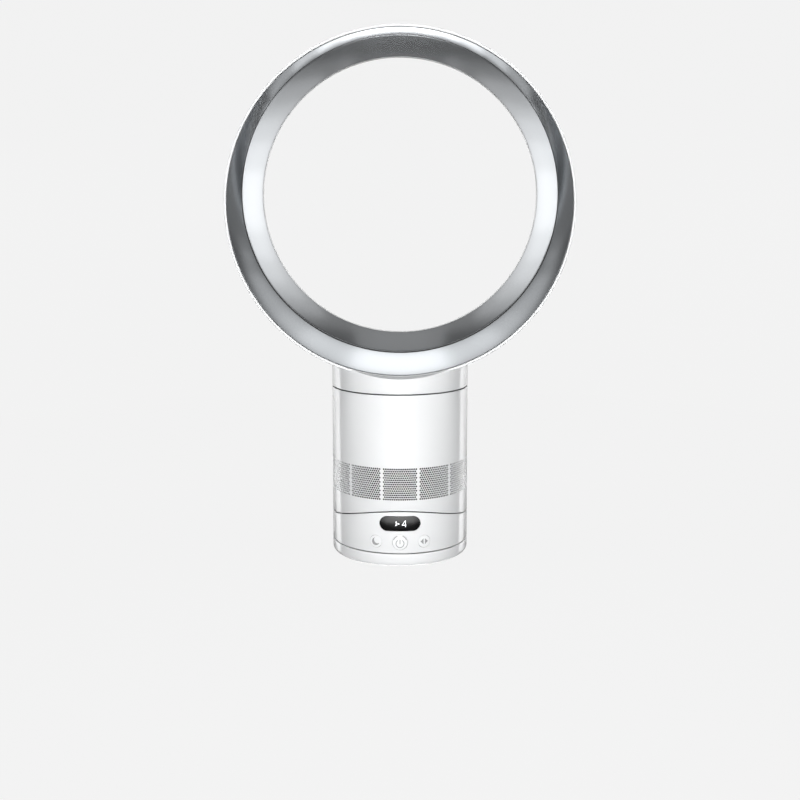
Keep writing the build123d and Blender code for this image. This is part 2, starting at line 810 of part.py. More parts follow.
def make_display_window():
    """The smoked window: it fills the cut-out, with a flange behind the casing's wall."""
    front = extrude(pill(display_width - display_gap * 2, display_height - display_gap * 2),
                    amount=body_radius * 2)
    flange_radius_out = inner_radius - fit_gap
    flange_radius_in = flange_radius_out - display_flange_thickness
    front &= tube(body_radius - display_recess, clip_radius + running_gap, 0, display_centre * 2)
    flange = extrude(pill(display_width + display_flange * 2, display_height + display_flange * 2),
                     amount=body_radius * 2)
    flange &= tube(flange_radius_out, flange_radius_in, 0, display_centre * 2)
    flange -= tilt_drum(saddle_under + fit_gap * 2)
    return front + flange


def board_front():
    return display_board_distance + board_thickness


def make_display_board():
    """Circuit board with the raised block of the number display."""
    low = display_centre - 1 - display_board_height / 2
    board = block(display_board_width, board_thickness, low, low + display_board_height,
                  y=-display_board_distance - board_thickness / 2)
    module = block(display_board_width - display_module_inset * 2, display_module_thickness, low + 2,
                   low + display_board_height - 1,
                   y=-board_front() - display_module_thickness / 2)
    display = board + module
    return display - tilt_drum(saddle_under + fit_gap * 3)


def make_ir_receiver():
    front = board_front() + display_module_thickness
    x = display_board_width / 2 - receiver_radius - receiver_overlap
    return rod_y(receiver_radius, -front + receiver_overlap, -board_front(), x, display_centre - 1)


def switch_front():
    return switch_back_distance + switch_depth


def button_back():
    return switch_front() + button_travel * 2


def button_flange_front(radius):
    """The flange stays just behind the casing's curved inner wall."""
    return sqrt(inner_radius ** 2 - (radius + button_flange) ** 2) - fit_gap


def make_button(angle, radius):
    flange_front = button_flange_front(radius)
    flange_back = flange_front - button_flange
    cap = rod_y(radius, -body_radius * 1.2, -flange_back, 0, button_centre)
    cap &= disc(body_radius + button_proud, 0, tilt_axis_height)
    cap = chamfer(cap.edges().sort_by(Axis.Y)[0], button_round)
    flange = rod_y(radius + button_flange, -flange_front, -flange_back, 0, button_centre)
    stem = rod_y(button_stem_radius, -flange_back, -button_back(), 0, button_centre)
    return Rot(0, 0, angle) * (cap + flange + stem)


def make_plunger(angle):
    """The switch's own plunger, which the button's stem pushes."""
    inner_end = switch_front() - button_travel * 2
    return Rot(0, 0, angle) * rod_y(plunger_radius, -button_back(), -inner_end, 0, button_centre)


def make_tact_switches():
    switches = []
    for angle, radius in button_list():
        body = block(switch_size, switch_depth, button_centre - switch_size / 2,
                     button_centre + switch_size / 2, y=-switch_back_distance - switch_depth / 2)
        hole_end = switch_front() - button_travel * 3 - fit_gap
        body -= rod_y(plunger_radius + running_gap, -switch_front(), -hole_end, 0, button_centre)
        switches.append(Rot(0, 0, angle) * body)
    return group(switches)


def make_front_frame():
    """Moulded frame on the base's floor: three faces for the switches and two arms for the display."""
    frame_y = -switch_back_distance + frame_thickness / 2
    middle_top = display_centre + display_height / 2
    frame = block(frame_middle_width, frame_thickness, floor_top, middle_top, y=frame_y)
    for side in (-1, 1):
        frame += Rot(0, 0, side * button_angle) * block(
            frame_width, frame_thickness, floor_top, floor_top + frame_side_height, y=frame_y)
        arm_length = display_board_distance - switch_back_distance + frame_thickness
        arm_y = -display_board_distance + arm_length / 2
        arm_x = side * (frame_middle_width - frame_arm_width) / 2
        frame += block(frame_arm_width, arm_length, display_centre - frame_arm_height, display_centre,
                       x=arm_x, y=arm_y)
    return frame - tilt_drum(saddle_under + snap_gap)


def make_base_floor():
    """Base plate with the hollow hub that turns in the foot."""
    floor = disc(clip_radius, base_bottom, floor_top)
    floor += disc(hub_radius, hub_end, floor_top)
    for x, y in board_post_places():
        floor += Pos(x, y, 0) * disc(post_radius, floor_top, floor_top + post_height)
    floor -= disc(hub_bore, 0, display_centre)
    floor -= Pos(0, pinion_y, 0) * disc(pinion_shaft_radius * 2, 0, display_centre)
    for x, y in column_places():
        floor -= Pos(x, y, 0) * disc(case_screw_radius + screw_clearance, 0, display_centre)
    for x, y in motor_screw_places():
        hole = disc(small_screw_radius + screw_clearance, base_bottom + fit_gap * 4, display_centre)
        floor -= Pos(x, y, 0) * hole
    for x, y in retainer_screw_places():
        floor -= Pos(x, y, 0) * disc(small_screw_radius + screw_clearance, 0, retainer_screw_tip + fit_gap)
    return floor


def board_post_places():
    x_spread = control_board_width / 2 - post_radius - post_edge
    y_spread = control_board_depth / 2 - post_radius - post_edge
    return [(x, control_board_y + y) for x in (-x_spread, x_spread) for y in (-y_spread, y_spread)]


def make_control_board():
    low = floor_top + post_height
    board = block(control_board_width, control_board_depth, low, low + board_thickness, y=control_board_y)
    for (width, depth, height), x in ((relay_size, relay_x), (chip_size, chip_x)):
        board += block(width, depth, low + board_thickness, low + board_thickness + height,
                       x=x, y=control_board_y)
    return board


def make_base_screws():
    screws = []
    for x, y in column_places():
        tip = saddle_height(saddle_under, y) + saddle_thickness / 2
        screws.append(screw(x, y, base_bottom, tip, case_screw_radius, case_head_radius, case_head_height))
    return group(screws)


def make_tilt_saddle():
    """The curved seat that the body slides on, with two slots and two low rails beside them."""
    saddle = disc(clip_radius, 0, display_centre * 2) & tilt_drum(saddle_under)
    saddle -= tilt_drum(saddle_radius)
    rail_radius = belly_radius + fit_gap
    for side in (-1, 1):
        x = side * runner_distance
        rail = tilt_drum(saddle_under - 1) - tilt_drum(rail_radius)
        rail &= tilt_wedge(slot_angle + 2, runner_stem_width + fit_gap * 2 + rail_width * 2, x)
        saddle += rail & disc(clip_radius, 0, display_centre * 2)
        saddle -= tilt_wedge(slot_angle, runner_stem_width + fit_gap * 2, x)
    saddle -= disc(cable_hole_radius, 0, tilt_axis_height)
    for x, y in column_places():
        hole_top = saddle_height(saddle_under, y) + saddle_thickness * 0.7
        saddle -= Pos(x, y, 0) * disc(case_screw_radius, 0, hole_top)
    return saddle


def make_hub_retainer():
    retainer = tube(retainer_radius, hub_bore, hub_end - retainer_thickness, hub_end)
    for x, y in retainer_screw_places():
        retainer -= Pos(x, y, 0) * disc(small_screw_radius + screw_clearance, 0, hub_end)
    return retainer


def retainer_screw_places():
    circle = (hub_radius + hub_bore) / 2
    return [(circle * cos(radians(90 + 120 * k)), circle * sin(radians(90 + 120 * k))) for k in range(3)]


def make_retainer_screws():
    return group(screw(x, y, hub_end - retainer_thickness, retainer_screw_tip, small_screw_radius,
                       small_head_radius, small_head_height) for x, y in retainer_screw_places())


def motor_y():
    return pinion_y + motor_shaft_offset


def motor_screw_places():
    return [(-motor_ear_spacing / 2, motor_y()), (motor_ear_spacing / 2, motor_y())]


def make_swing_motor():
    can = Pos(0, motor_y(), 0) * disc(motor_radius, floor_top, floor_top + motor_height)
    ear_top = floor_top + motor_ear_thickness
    motor = can + block(motor_ear_spacing, motor_ear_radius * 2, floor_top, ear_top, y=motor_y())
    for x, y in motor_screw_places():
        motor += Pos(x, y, 0) * disc(motor_ear_radius, floor_top, ear_top)
    for x, y in motor_screw_places():
        motor -= Pos(x, y, 0) * disc(small_screw_radius + screw_clearance, 0, ear_top)
    shaft_hole = disc(pinion_shaft_radius + running_gap, 0, floor_top + motor_height / 2)
    return motor - Pos(0, pinion_y, 0) * shaft_hole


def make_motor_screws():
    return group(screw(x, y, floor_top + motor_ear_thickness, base_bottom + fit_gap * 6, small_screw_radius,
                       small_head_radius, small_head_height) for x, y in motor_screw_places())


# Swing gears

def tooth_outline(teeth, start, count):
    """Points of involute teeth, from the root before the first to the root after the last."""
    pitch = gear_module * teeth / 2
    base = pitch * cos(radians(pressure_angle))
    tip = pitch + tooth_addendum * gear_module
    root = pitch - tooth_dedendum * gear_module
    half_tooth = pi / (2 * teeth) - tooth_thinning / (2 * pitch)
    pitch_roll = tan(radians(pressure_angle)) - radians(pressure_angle)
    flank = []
    low = max(base, root)
    for step in range(3):
        radius = low + (tip - low) * step / 2
        slant = sqrt(max((radius / base) ** 2 - 1, 0))
        roll = slant - atan2(slant, 1)
        flank.append((radius, half_tooth + pitch_roll - roll))
    if root < low:
        flank.insert(0, (root, flank[0][1]))
    points = []
    for k in range(count):
        middle = radians(start) + 2 * pi * k / teeth
        points += [(r * cos(middle - turn), r * sin(middle - turn)) for r, turn in flank]
        points += [(r * cos(middle + turn), r * sin(middle + turn)) for r, turn in reversed(flank)]
    return points


def make_fixed_gear():
    """A toothed sector fixed in the foot, as long as the swing needs."""
    low = land_top
    step = 360 / gear_teeth
    teeth = tooth_outline(gear_teeth, 90 - step * (sector_teeth - 1) / 2, sector_teeth)
    sector = Pos(0, 0, low) * extrude(make_face(Polyline((0, 0), *teeth, close=True)), amount=gear_thickness)
    gear = sector + disc(gear_root, low, low + gear_thickness)
    gear -= disc(gear_bore, 0, foot_top)
    for x, y in gear_screw_places():
        gear -= Pos(x, y, 0) * disc(tiny_screw_radius + screw_clearance, 0, foot_top)
    return gear


def gear_screw_places():
    return [(gear_screw_circle * cos(radians(30 + 120 * k)), gear_screw_circle * sin(radians(30 + 120 * k)))
            for k in range(3)]


def make_gear_screws():
    return group(screw(x, y, land_top + gear_thickness, foot_floor - 1, tiny_screw_radius,
                       tiny_head_radius, tiny_head_height) for x, y in gear_screw_places())


def pinion_base():
    return land_top + (gear_thickness - pinion_thickness) / 2


def make_swing_pinion():
    teeth = tooth_outline(pinion_teeth, -90 + 180 / pinion_teeth, pinion_teeth)
    pinion = Pos(0, pinion_y, pinion_base()) * extrude(make_face(Polyline(*teeth, close=True)),
                                                       amount=pinion_thickness)
    return pinion - Pos(0, pinion_y, 0) * disc(pinion_shaft_radius, 0, foot_top)


def make_pinion_shaft():
    return Pos(0, pinion_y, 0) * disc(pinion_shaft_radius, pinion_base(), floor_top + motor_height * 0.45)


# Foot

def pad_places():
    """The pads start at the front, so none lies under the power socket."""
    return [(pad_circle * cos(radians(-90 + 360 * k / pad_count)),
             pad_circle * sin(radians(-90 + 360 * k / pad_count))) for k in range(pad_count)]


def make_foot_disc():
    foot = disc(body_radius, foot_clearance, foot_top)
    foot = fillet(foot.edges().filter_by(GeomType.CIRCLE).sort_by(Axis.Z)[0], foot_round)
    hollow = disc(inner_radius, foot_floor, foot_top)
    foot -= chamfer(hollow.edges().filter_by(GeomType.CIRCLE).sort_by(Axis.Z)[0], foot_inner_bevel)
    foot += tube(boss_radius, boss_inner, foot_floor, boss_top)
    foot += tube(boss_radius + land_width, boss_inner, foot_floor - 1, land_top)
    rib = tube(glide_circle + glide_width / 2, glide_circle - glide_width / 2, foot_floor - 1, glide_rib_top)
    foot += rib
    foot -= block(socket_width + snap_gap * 2, inner_radius, foot_floor, foot_top, y=socket_face + fit_gap
                  - socket_length / 2 - snap_gap) & disc(inner_radius, foot_floor, foot_top)
    foot -= disc(boss_inner, 0, foot_top)
    foot -= disc(retainer_radius + snap_gap * 2, 0, boss_ledge)
    for x, y in pad_places():
        foot -= Pos(x, y, 0) * disc(pad_radius + snap_gap, 0, pad_thickness)
    for x, y in gear_screw_places():
        foot -= Pos(x, y, 0) * disc(tiny_screw_radius, foot_floor - 1, foot_top)
    return foot - rod_y(socket_collar + fit_gap, 0, body_radius * 2, 0, socket_height)


def make_foot_pads():
    return group(Pos(x, y, 0) * disc(pad_radius, 0, pad_thickness) for x, y in pad_places())


def make_pivot_bush():
    return turned([
        (hub_radius + running_gap, boss_ledge + fit_gap), (bush_radius, boss_ledge + fit_gap),
        (bush_radius, boss_top), (boss_radius, boss_top), (boss_radius, boss_top + bush_flange),
        (hub_radius + running_gap, boss_top + bush_flange)])


def make_glide_ring():
    return tube(glide_circle + glide_width / 2, glide_circle - glide_width / 2, glide_rib_top, glide_top)


def make_power_socket():
    """Round socket for a low-voltage plug: a block with a collar through the foot's wall."""
    low = foot_floor
    high = glide_rib_top - fit_gap
    housing = block(socket_width, socket_length, low, high, y=socket_face - socket_length / 2)
    housing += rod_y(socket_collar, socket_face - 1, socket_mouth, 0, socket_height)
    housing -= rod_y(plug_bore_radius, plug_bore_end, socket_mouth, 0, socket_height)
    return housing - rod_y(contact_radius, plug_bore_end - contact_length, plug_bore_end, 0, socket_height)


def make_socket_contact():
    return rod_y(contact_radius, plug_bore_end - contact_length, plug_bore_end - fit_gap, 0, socket_height)


pieces = {
    "foot_disc": make_foot_disc(),
    "foot_pads": make_foot_pads(),
    "fixed_gear": make_fixed_gear(),
    "gear_screws": make_gear_screws(),
    "pivot_bush": make_pivot_bush(),
    "glide_ring": make_glide_ring(),
    "power_socket": make_power_socket(),
    "socket_contact": make_socket_contact(),
    "base_casing": make_base_casing(),
    "base_floor": make_base_floor(),
    "hub_retainer": make_hub_retainer(),
    "retainer_screws": make_retainer_screws(),
    "base_screws": make_base_screws(),
    "front_frame": make_front_frame(),
    "tact_switches": make_tact_switches(),
    "display_window": make_display_window(),
    "display_board": make_display_board(),
    "ir_receiver": make_ir_receiver(),
    "control_board": make_control_board(),
    "swing_motor": make_swing_motor(),
    "motor_screws": make_motor_screws(),
    "tilt_saddle": make_tilt_saddle(),
    "swing_pinion": make_swing_pinion(),
    "pinion_shaft": make_pinion_shaft(),
    "sleep_button": make_button(-button_angle, small_button_radius),
    "sleep_plunger": make_plunger(-button_angle),
    "power_button": make_button(0.0, power_button_radius),
    "power_plunger": make_plunger(0.0),
    "swing_button": make_button(button_angle, small_button_radius),
    "swing_plunger": make_plunger(button_angle),
    "body_casing": make_body_casing(),
    "body_floor": make_body_floor(),
    "tilt_runners": make_tilt_runners(),
    "runner_screws": make_runner_screws(),
    "driver_board": make_driver_board(),
    "silencing_foam": make_silencing_foam(),
    "inlet_bellmouth": make_inlet_bellmouth(),
    "impeller_housing": make_impeller_housing(),
    "rubber_mounts": make_rubber_mounts(),
    "housing_seal": make_housing_seal(),
    "motor_bucket_lower": make_motor_bucket_lower(),
    "motor_bucket_upper": make_motor_bucket_upper(),
    "motor_stator": make_motor_stator(),
    "lower_bearing": make_bearing(lower_bearing_base),
    "upper_bearing": make_bearing(upper_bearing_top - bearing_height),
    "body_top_ring": make_body_top_ring(),
    "rotor_shaft": make_rotor_shaft(),
    "rotor_magnet": make_rotor_magnet(),
    "impeller": make_impeller(),
    "impeller_nut": make_impeller_nut(),
    "nozzle_casing": make_nozzle_casing(),
    "nozzle_front": make_nozzle_front(),
    "slot_spacers": make_slot_spacers(),
    "remote_magnets": make_remote_magnets(),
    "bayonet_ring": make_bayonet_ring(),
    "nozzle_seal": make_nozzle_seal(),
}

os.makedirs("parts", exist_ok=True)
for name, piece in pieces.items():
    export_step(piece, f"parts/{name}.step")
print(len(pieces), "nodes written")
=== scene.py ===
import bmesh
import bpy
import json
from math import atan2, cos, hypot, pi, radians, sin, sqrt, tan
from mathutils import Matrix, Vector


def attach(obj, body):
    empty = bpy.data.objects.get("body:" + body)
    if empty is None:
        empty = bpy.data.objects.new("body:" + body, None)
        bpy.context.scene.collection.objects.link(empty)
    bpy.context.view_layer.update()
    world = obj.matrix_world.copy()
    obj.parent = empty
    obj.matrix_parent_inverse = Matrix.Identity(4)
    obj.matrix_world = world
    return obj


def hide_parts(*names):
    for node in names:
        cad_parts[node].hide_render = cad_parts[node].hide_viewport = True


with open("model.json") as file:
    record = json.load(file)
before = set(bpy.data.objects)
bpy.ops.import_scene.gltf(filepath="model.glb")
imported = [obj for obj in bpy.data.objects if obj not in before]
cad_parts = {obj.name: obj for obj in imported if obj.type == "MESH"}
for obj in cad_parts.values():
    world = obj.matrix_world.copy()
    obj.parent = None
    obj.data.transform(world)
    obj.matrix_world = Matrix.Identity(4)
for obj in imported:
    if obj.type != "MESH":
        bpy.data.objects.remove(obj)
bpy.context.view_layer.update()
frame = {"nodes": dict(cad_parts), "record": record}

bodyForm = {"radius": 0.0725, "wall": 0.0025, "edgeRound": 0.0004}
ringForm = {"radius": 0.179, "halfDepth": 0.052, "wall": 0.0025, "boreLift": 0.009, "steps": 288,
            "axisHeight": 0.373}
tiltSeat = {"axisHeight": 0.2227, "saddleRadius": 0.1789, "bellyRadius": 0.1780}
ringAxis = ringForm["axisHeight"]
roundSides = 64  # of the buttons and the window's ends


# Shader sums: arithmetic on a socket adds the Math node
class Socket:
    def __init__(self, recipe, end):
        self.recipe = recipe
        self.end = end

    def math(self, operation, first, second):
        return self.recipe.node("ShaderNodeMath", {"operation": operation}, {0: first, 1: second})

    def __add__(self, other):
        return self.math("ADD", self, other)

    def __sub__(self, other):
        return self.math("SUBTRACT", self, other)

    def __rsub__(self, other):
        return self.math("SUBTRACT", other, self)

    def __mul__(self, other):
        return self.math("MULTIPLY", self, other)

    __radd__ = __add__
    __rmul__ = __mul__


class Recipe:
    def __init__(self, name, **fixed):
        self.material = bpy.data.materials.new(name)
        self.material.use_nodes = True
        self.tree = self.material.node_tree
        self.shader = self.tree.nodes["Principled BSDF"]
        self.place = self.node("ShaderNodeTexCoord", output="Object")
        for label, value in fixed.items():
            self.give(self.shader.inputs[label.replace("_", " ")], value)

    def node(self, kind, settings={}, inputs={}, output=0):
        made = self.tree.nodes.new(kind)
        for label, value in settings.items():
            if label == "stops":
                for stop, (position, colour) in zip(made.color_ramp.elements, value):
                    stop.position = position
                    stop.color = colour
            else:
                setattr(made, label, value)
        for label, value in inputs.items():
            self.give(made.inputs[label], value)
        return Socket(self, made.outputs[output])

    def give(self, socket, value):
        if isinstance(value, Socket):
            self.tree.links.new(value.end, socket)
        else:
            socket.default_value = value

    def noise(self, scale, detail=2.0, stretch=(1, 1, 1)):
        place = self.node("ShaderNodeMapping", inputs={"Vector": self.place, "Scale": stretch})
        return self.node("ShaderNodeTexNoise", inputs={"Vector": place, "Scale": scale, "Detail": detail})

    def between(self, share, first, second):
        return self.node("ShaderNodeMix", {"data_type": "RGBA"}, {0: share, 6: first, 7: second}, output=2)

    def colour(self, value):
        self.give(self.shader.inputs["Base Color"], value)

    def roughness(self, value):
        self.give(self.shader.inputs["Roughness"], value)

    def bump(self, height, distance):
        made = self.node("ShaderNodeBump", inputs={"Height": height, "Distance": distance})
        self.give(self.shader.inputs["Normal"], made)


def grey(level, tint=0.0):
    return (level - tint, level, level + tint, 1)


def glossWhite(name, level=0.86, rough=0.2, grain=900.0):
    made = Recipe(name, IOR=1.5, Coat_Weight=0.5, Coat_Roughness=0.06, Coat_IOR=1.5)
    cloud = made.noise(9.0, 3.0)
    made.colour(made.between(cloud, grey(level - 0.01, 0.008), grey(level + 0.01, 0.01)))
    made.roughness(cloud * 0.05 + rough)
    made.bump(made.noise(grain, 1.0), 0.000004)
    return made


def ringSilver():
    made = Recipe("silverPaint", Metallic=1.0, IOR=1.5, Coat_Weight=0.15, Coat_Roughness=0.1)
    flake = made.noise(2600.0, 1.0)
    cloud = made.noise(14.0, 3.0)
    made.colour(made.between(flake * 0.6 + cloud * 0.4, grey(0.52, 0.02), grey(0.60, 0.022)))
    made.roughness(flake * 0.04 + cloud * 0.04 + 0.13)
    made.bump(flake, 0.000003)
    return made


def smokedGloss():
    # painted reflection: the window's colour is lighter in its upper middle, where light from above would shine
    # on it, and black round its edge
    made = Recipe("smokedGloss", IOR=1.5, Coat_Weight=0.3, Coat_Roughness=0.05)
    up = made.node("ShaderNodeSeparateXYZ", inputs={0: made.place}, output="Z")
    across = made.node("ShaderNodeSeparateXYZ", inputs={0: made.place}, output="X") * (2 / display["width"])
    share = (up - display["centre"]) * (1 / display["height"]) + 0.5 - across * across * 0.35
    # the painted reflection: a colour ramp over height and width stands in for light from above
    paintedReflection = made.node("ShaderNodeValToRGB", {"stops": [(0.15, grey(0.003)), (1.0, grey(0.09))]}, {0: share})
    made.colour(paintedReflection)
    made.roughness(made.noise(60.0) * 0.05 + 0.1)
    made.bump(made.noise(700.0), 0.000002)
    return made


def printAndShadowFinish(name, level):
    made = Recipe(name, IOR=1.45)
    grain = made.noise(1800.0, 2.0)
    made.colour(made.between(grain, grey(level * 0.92, 0.004), grey(level * 1.08, 0.004)))
    made.roughness(grain * 0.1 + 0.4)
    made.bump(grain, 0.000004)
    return made


def displayGlow():
    made = Recipe("displayGlow", IOR=1.45, Emission_Strength=0.85)
    grain = made.noise(900.0)
    lit = made.between(grain, grey(0.75, 0.01), grey(0.95, 0.01))
    made.colour(lit)
    made.give(made.shader.inputs["Emission Color"], lit)
    made.roughness(grain * 0.1 + 0.4)
    return made


def plainFinish(name, dark, light, rough, spread, scale, relief, metal=0.0, stretch=(1, 1, 1)):
    made = Recipe(name, Metallic=metal, IOR=1.45)
    grain = made.noise(scale, 3.0, stretch)
    made.colour(made.between(grain, (*dark, 1), (*light, 1)))
    made.roughness(grain * spread + rough)
    made.bump(grain, relief)
    return made


display = {"centre": 0.0469, "width": 0.0423, "height": 0.0159, "recess": 0.0001, "gap": 0.00015,
           "edgeRound": 0.0008, "depth": 0.0028}

finishes = {
    "white_casing": glossWhite("glossWhite"),
    "silver_ring": ringSilver(),
    "smoked_window": smokedGloss(),
    "white_button": glossWhite("buttonWhite", 0.87, 0.26, 1300.0),
    "rubber": plainFinish("rubberBlack", (0.02, 0.02, 0.02), (0.035, 0.035, 0.035), 0.7, 0.15, 500, 0.00002),
    "foam": plainFinish("foamGrey", (0.01, 0.01, 0.011), (0.05, 0.05, 0.052), 0.9, 0.1, 700, 0.0004),
    "bearing_plastic": plainFinish("bearingPlastic", (0.72, 0.72, 0.67), (0.8, 0.8, 0.75), 0.4, 0.1, 240,
                                   0.00001),
    "inner_plastic": plainFinish("innerPlastic", (0.075, 0.078, 0.082), (0.095, 0.098, 0.102), 0.45, 0.12,
                                 600, 0.00001),
    "impeller_plastic": plainFinish("impellerPlastic", (0.03, 0.03, 0.032), (0.045, 0.045, 0.048), 0.4, 0.1,
                                    500, 0.00001),
    "circuit_board": plainFinish("boardGreen", (0.012, 0.07, 0.03), (0.02, 0.1, 0.045), 0.3, 0.15, 300,
                                 0.00002),
    "steel": plainFinish("plainSteel", (0.42, 0.42, 0.43), (0.55, 0.55, 0.56), 0.25, 0.15, 120, 0.000004,
                         1.0, (1, 1, 12)),
    "brass": plainFinish("contactBrass", (0.55, 0.4, 0.16), (0.68, 0.52, 0.22), 0.25, 0.12, 200, 0.000004,
                         1.0),
}
iconInk = printAndShadowFinish("iconInk", 0.34)
# painted shadow: the arcs' grey stands for shade in the gap round the power button
gapShadowInk = printAndShadowFinish("gapShadowInk", 0.36)
glow = displayGlow()

for part in frame["record"]["subparts"]:
    node = frame["nodes"][part["node"]]
    node.data.materials.clear()
    node.data.materials.append(finishes[part["material_slot"]].material)
print("finishes on", len(frame["nodes"]), "CAD nodes")


def addPiece(name, bm, body, finish, replaced=(), sharp=30.0):
    bmesh.ops.remove_doubles(bm, verts=bm.verts, dist=1e-7)
    bmesh.ops.recalc_face_normals(bm, faces=bm.faces)
    mesh = bpy.data.meshes.new(name)
    bm.to_mesh(mesh)
    bm.free()
    dressMesh(name, mesh, body, finish, replaced, sharp)


def dressMesh(name, mesh, body, finish, replaced=(), sharp=30.0):
    mesh.name = name
    mesh.shade_smooth()
    mesh.set_sharp_from_angle(angle=radians(sharp))  # steeper edges stay crisp
    mesh.materials.clear()
    mesh.materials.append(finish.material)
    piece = bpy.data.objects.new(name, mesh)
    bpy.context.scene.collection.objects.link(piece)
    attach(piece, body)
    if replaced:
        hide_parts(*replaced)
    print("made", name, "with", len(mesh.polygons), "faces")


def cutOut(bm, cutters):
    # takes each cutter's shape out of the mesh, and gives the finished mesh back
    bmesh.ops.recalc_face_normals(bm, faces=bm.faces)
    mesh = bpy.data.meshes.new("whole")
    bm.to_mesh(mesh)
    bm.free()
    whole = bpy.data.objects.new("whole", mesh)
    bpy.context.scene.collection.objects.link(whole)
    helpers = []
    for cutter in cutters:
        bmesh.ops.recalc_face_normals(cutter, faces=cutter.faces)
        shape = bpy.data.meshes.new("cutter")
        cutter.to_mesh(shape)
        cutter.free()
        helper = bpy.data.objects.new("cutter", shape)
        bpy.context.scene.collection.objects.link(helper)
        cut = whole.modifiers.new("cut", "BOOLEAN")
        cut.operation = "DIFFERENCE"
        cut.solver = "EXACT"
        cut.object = helper
        helpers.append(helper)
    bpy.context.view_layer.update()
    result = bpy.data.meshes.new_from_object(whole.evaluated_get(bpy.context.evaluated_depsgraph_get()))
    for helper in [whole] + helpers:
        bpy.data.objects.remove(helper)
    return result


def aboutRing(distance, depth):
    return Vector((0, depth, ringAxis + distance))


def aboutZ(distance, height):
    return Vector((0, -distance, height))


def spinOutline(bm, corners, place, centre, axis, steps, closed=False, after=None):
    # corners are (distance, along, round), and the outline is turned once about the axis
    points = [bm.verts.new(place(distance, along)) for distance, along, turn in corners]
    line = points + ([points[0]] if closed else []) + ([after] if after else [])
    for first, second in zip(line, line[1:]):
        bm.edges.new((first, second))
    for point, (distance, along, turn) in zip(points, corners):
        if turn:
            bmesh.ops.bevel(bm, geom=[point], offset=turn, offset_type="OFFSET", segments=6, profile=0.5,
                            affect="VERTICES", material=-1)
    outline = [edge for edge in bm.edges if edge.is_wire] + [vert for vert in bm.verts if vert.is_wire]
    bmesh.ops.spin(bm, geom=outline, cent=centre, axis=axis, angle=2 * pi, steps=steps, use_merge=True)


def loopAt(bm, test):
    return [edge for edge in bm.edges if edge.is_boundary and all(test(vert.co) for vert in edge.verts)]


# Ring casing: a thin white shell, open at the front, with the collar below it
casing = {"frontRound": 0.0009, "backOuter": 0.0105, "backInner": 0.0095, "lipRadius": 0.149,
          "lipWall": 0.002, "lipEnd": 0.034, "lipRound": 0.0006, "lipInside": 0.004, "rimInside": 0.005}
collar = {"seam": 0.1807, "ledgeRadius": 0.1769, "roofInner": 0.03, "roofRows": 6, "roofLevel": 0.9,
          "edgeRound": 0.0008, "wallHeight": 0.006}


def ledgeHeight(x):
    return ringAxis - sqrt(collar["ledgeRadius"] ** 2 - x ** 2)


def liftBore(verts, fullLift, noLift):
    # the ring's inside is a little higher than its outside, and the form between them leans over evenly
    for vert in verts:
        distance = hypot(vert.co.x, vert.co.z - ringAxis)
        share = min(1.0, max(0.0, (noLift - distance) / (noLift - fullLift)))
        vert.co.z += ringForm["boreLift"] * share


def makeRingCasing():
    bm = bmesh.new()
    outer, wall, back = ringForm["radius"], ringForm["wall"], ringForm["halfDepth"]
    lip, inside = casing["lipRadius"], back - wall
    spinOutline(bm, [(outer - wall, -back, casing["frontRound"]), (outer, -back, casing["frontRound"]),
                     (outer, back, casing["backOuter"]), (lip, back, casing["backInner"]),
                     (lip, casing["lipEnd"], casing["lipRound"]),
                     (lip + casing["lipWall"], casing["lipEnd"], casing["lipRound"]),
                     (lip + casing["lipWall"], inside, casing["lipInside"]),
                     (outer - wall, inside, casing["rimInside"])],
                aboutRing, (0, 0, ringAxis), (0, 1, 0), ringForm["steps"], closed=True)
    liftBore(bm.verts, lip + casing["backInner"], outer - casing["backOuter"])

    # the collar is spun with a flat roof, which is then bent to the ring's round underside
    top = ringAxis - ringForm["radius"] * collar["roofLevel"]
    radius = bodyForm["radius"]
    roof = [(collar["roofInner"] + (radius - collar["roofInner"]) * row / collar["roofRows"], top, 0)
            for row in range(collar["roofRows"])]
    before = set(bm.verts)
    spinOutline(bm, roof + [(radius, top, collar["edgeRound"]), (radius, collar["seam"], bodyForm["edgeRound"]),
                            (radius - bodyForm["wall"], collar["seam"], 0),
                            (radius - bodyForm["wall"], collar["seam"] + collar["wallHeight"], 0)],
                aboutZ, (0, 0, 0), (0, 0, 1), ringForm["steps"])
    for vert in set(bm.verts) - before:
        if vert.co.z > top - collar["edgeRound"] * 1.5:
            vert.co.z += ledgeHeight(vert.co.x) - top
    addPiece("ringCasing", bm, "nozzle", finishes["white_casing"], ["nozzle_casing"])


makeRingCasing()

# Silver front: a bevel from the rim in to the crease, then the long band back to the rounded nose
front = {"rimRadius": 0.1759, "rimDepth": -0.0515, "skirt": 0.008, "creaseRadius": 0.1618,
         "creaseDepth": -0.0364, "noseAxis": 0.161, "noseRadius": 0.013, "noseDepth": 0.024, "tailAngle": 60.0,
         "wall": 0.002, "noseSteps": 20, "throatSlope": 11.4, "bandSteps": 16, "edgeRound": 0.0006,
         "seamWide": 0.0012, "seamDeep": 0.0014, "seamRound": 0.0002, "shadeStripSunk": 0.0002, "shadeStripThick": 0.0009,
         "shadeStripGap": 0.00005}


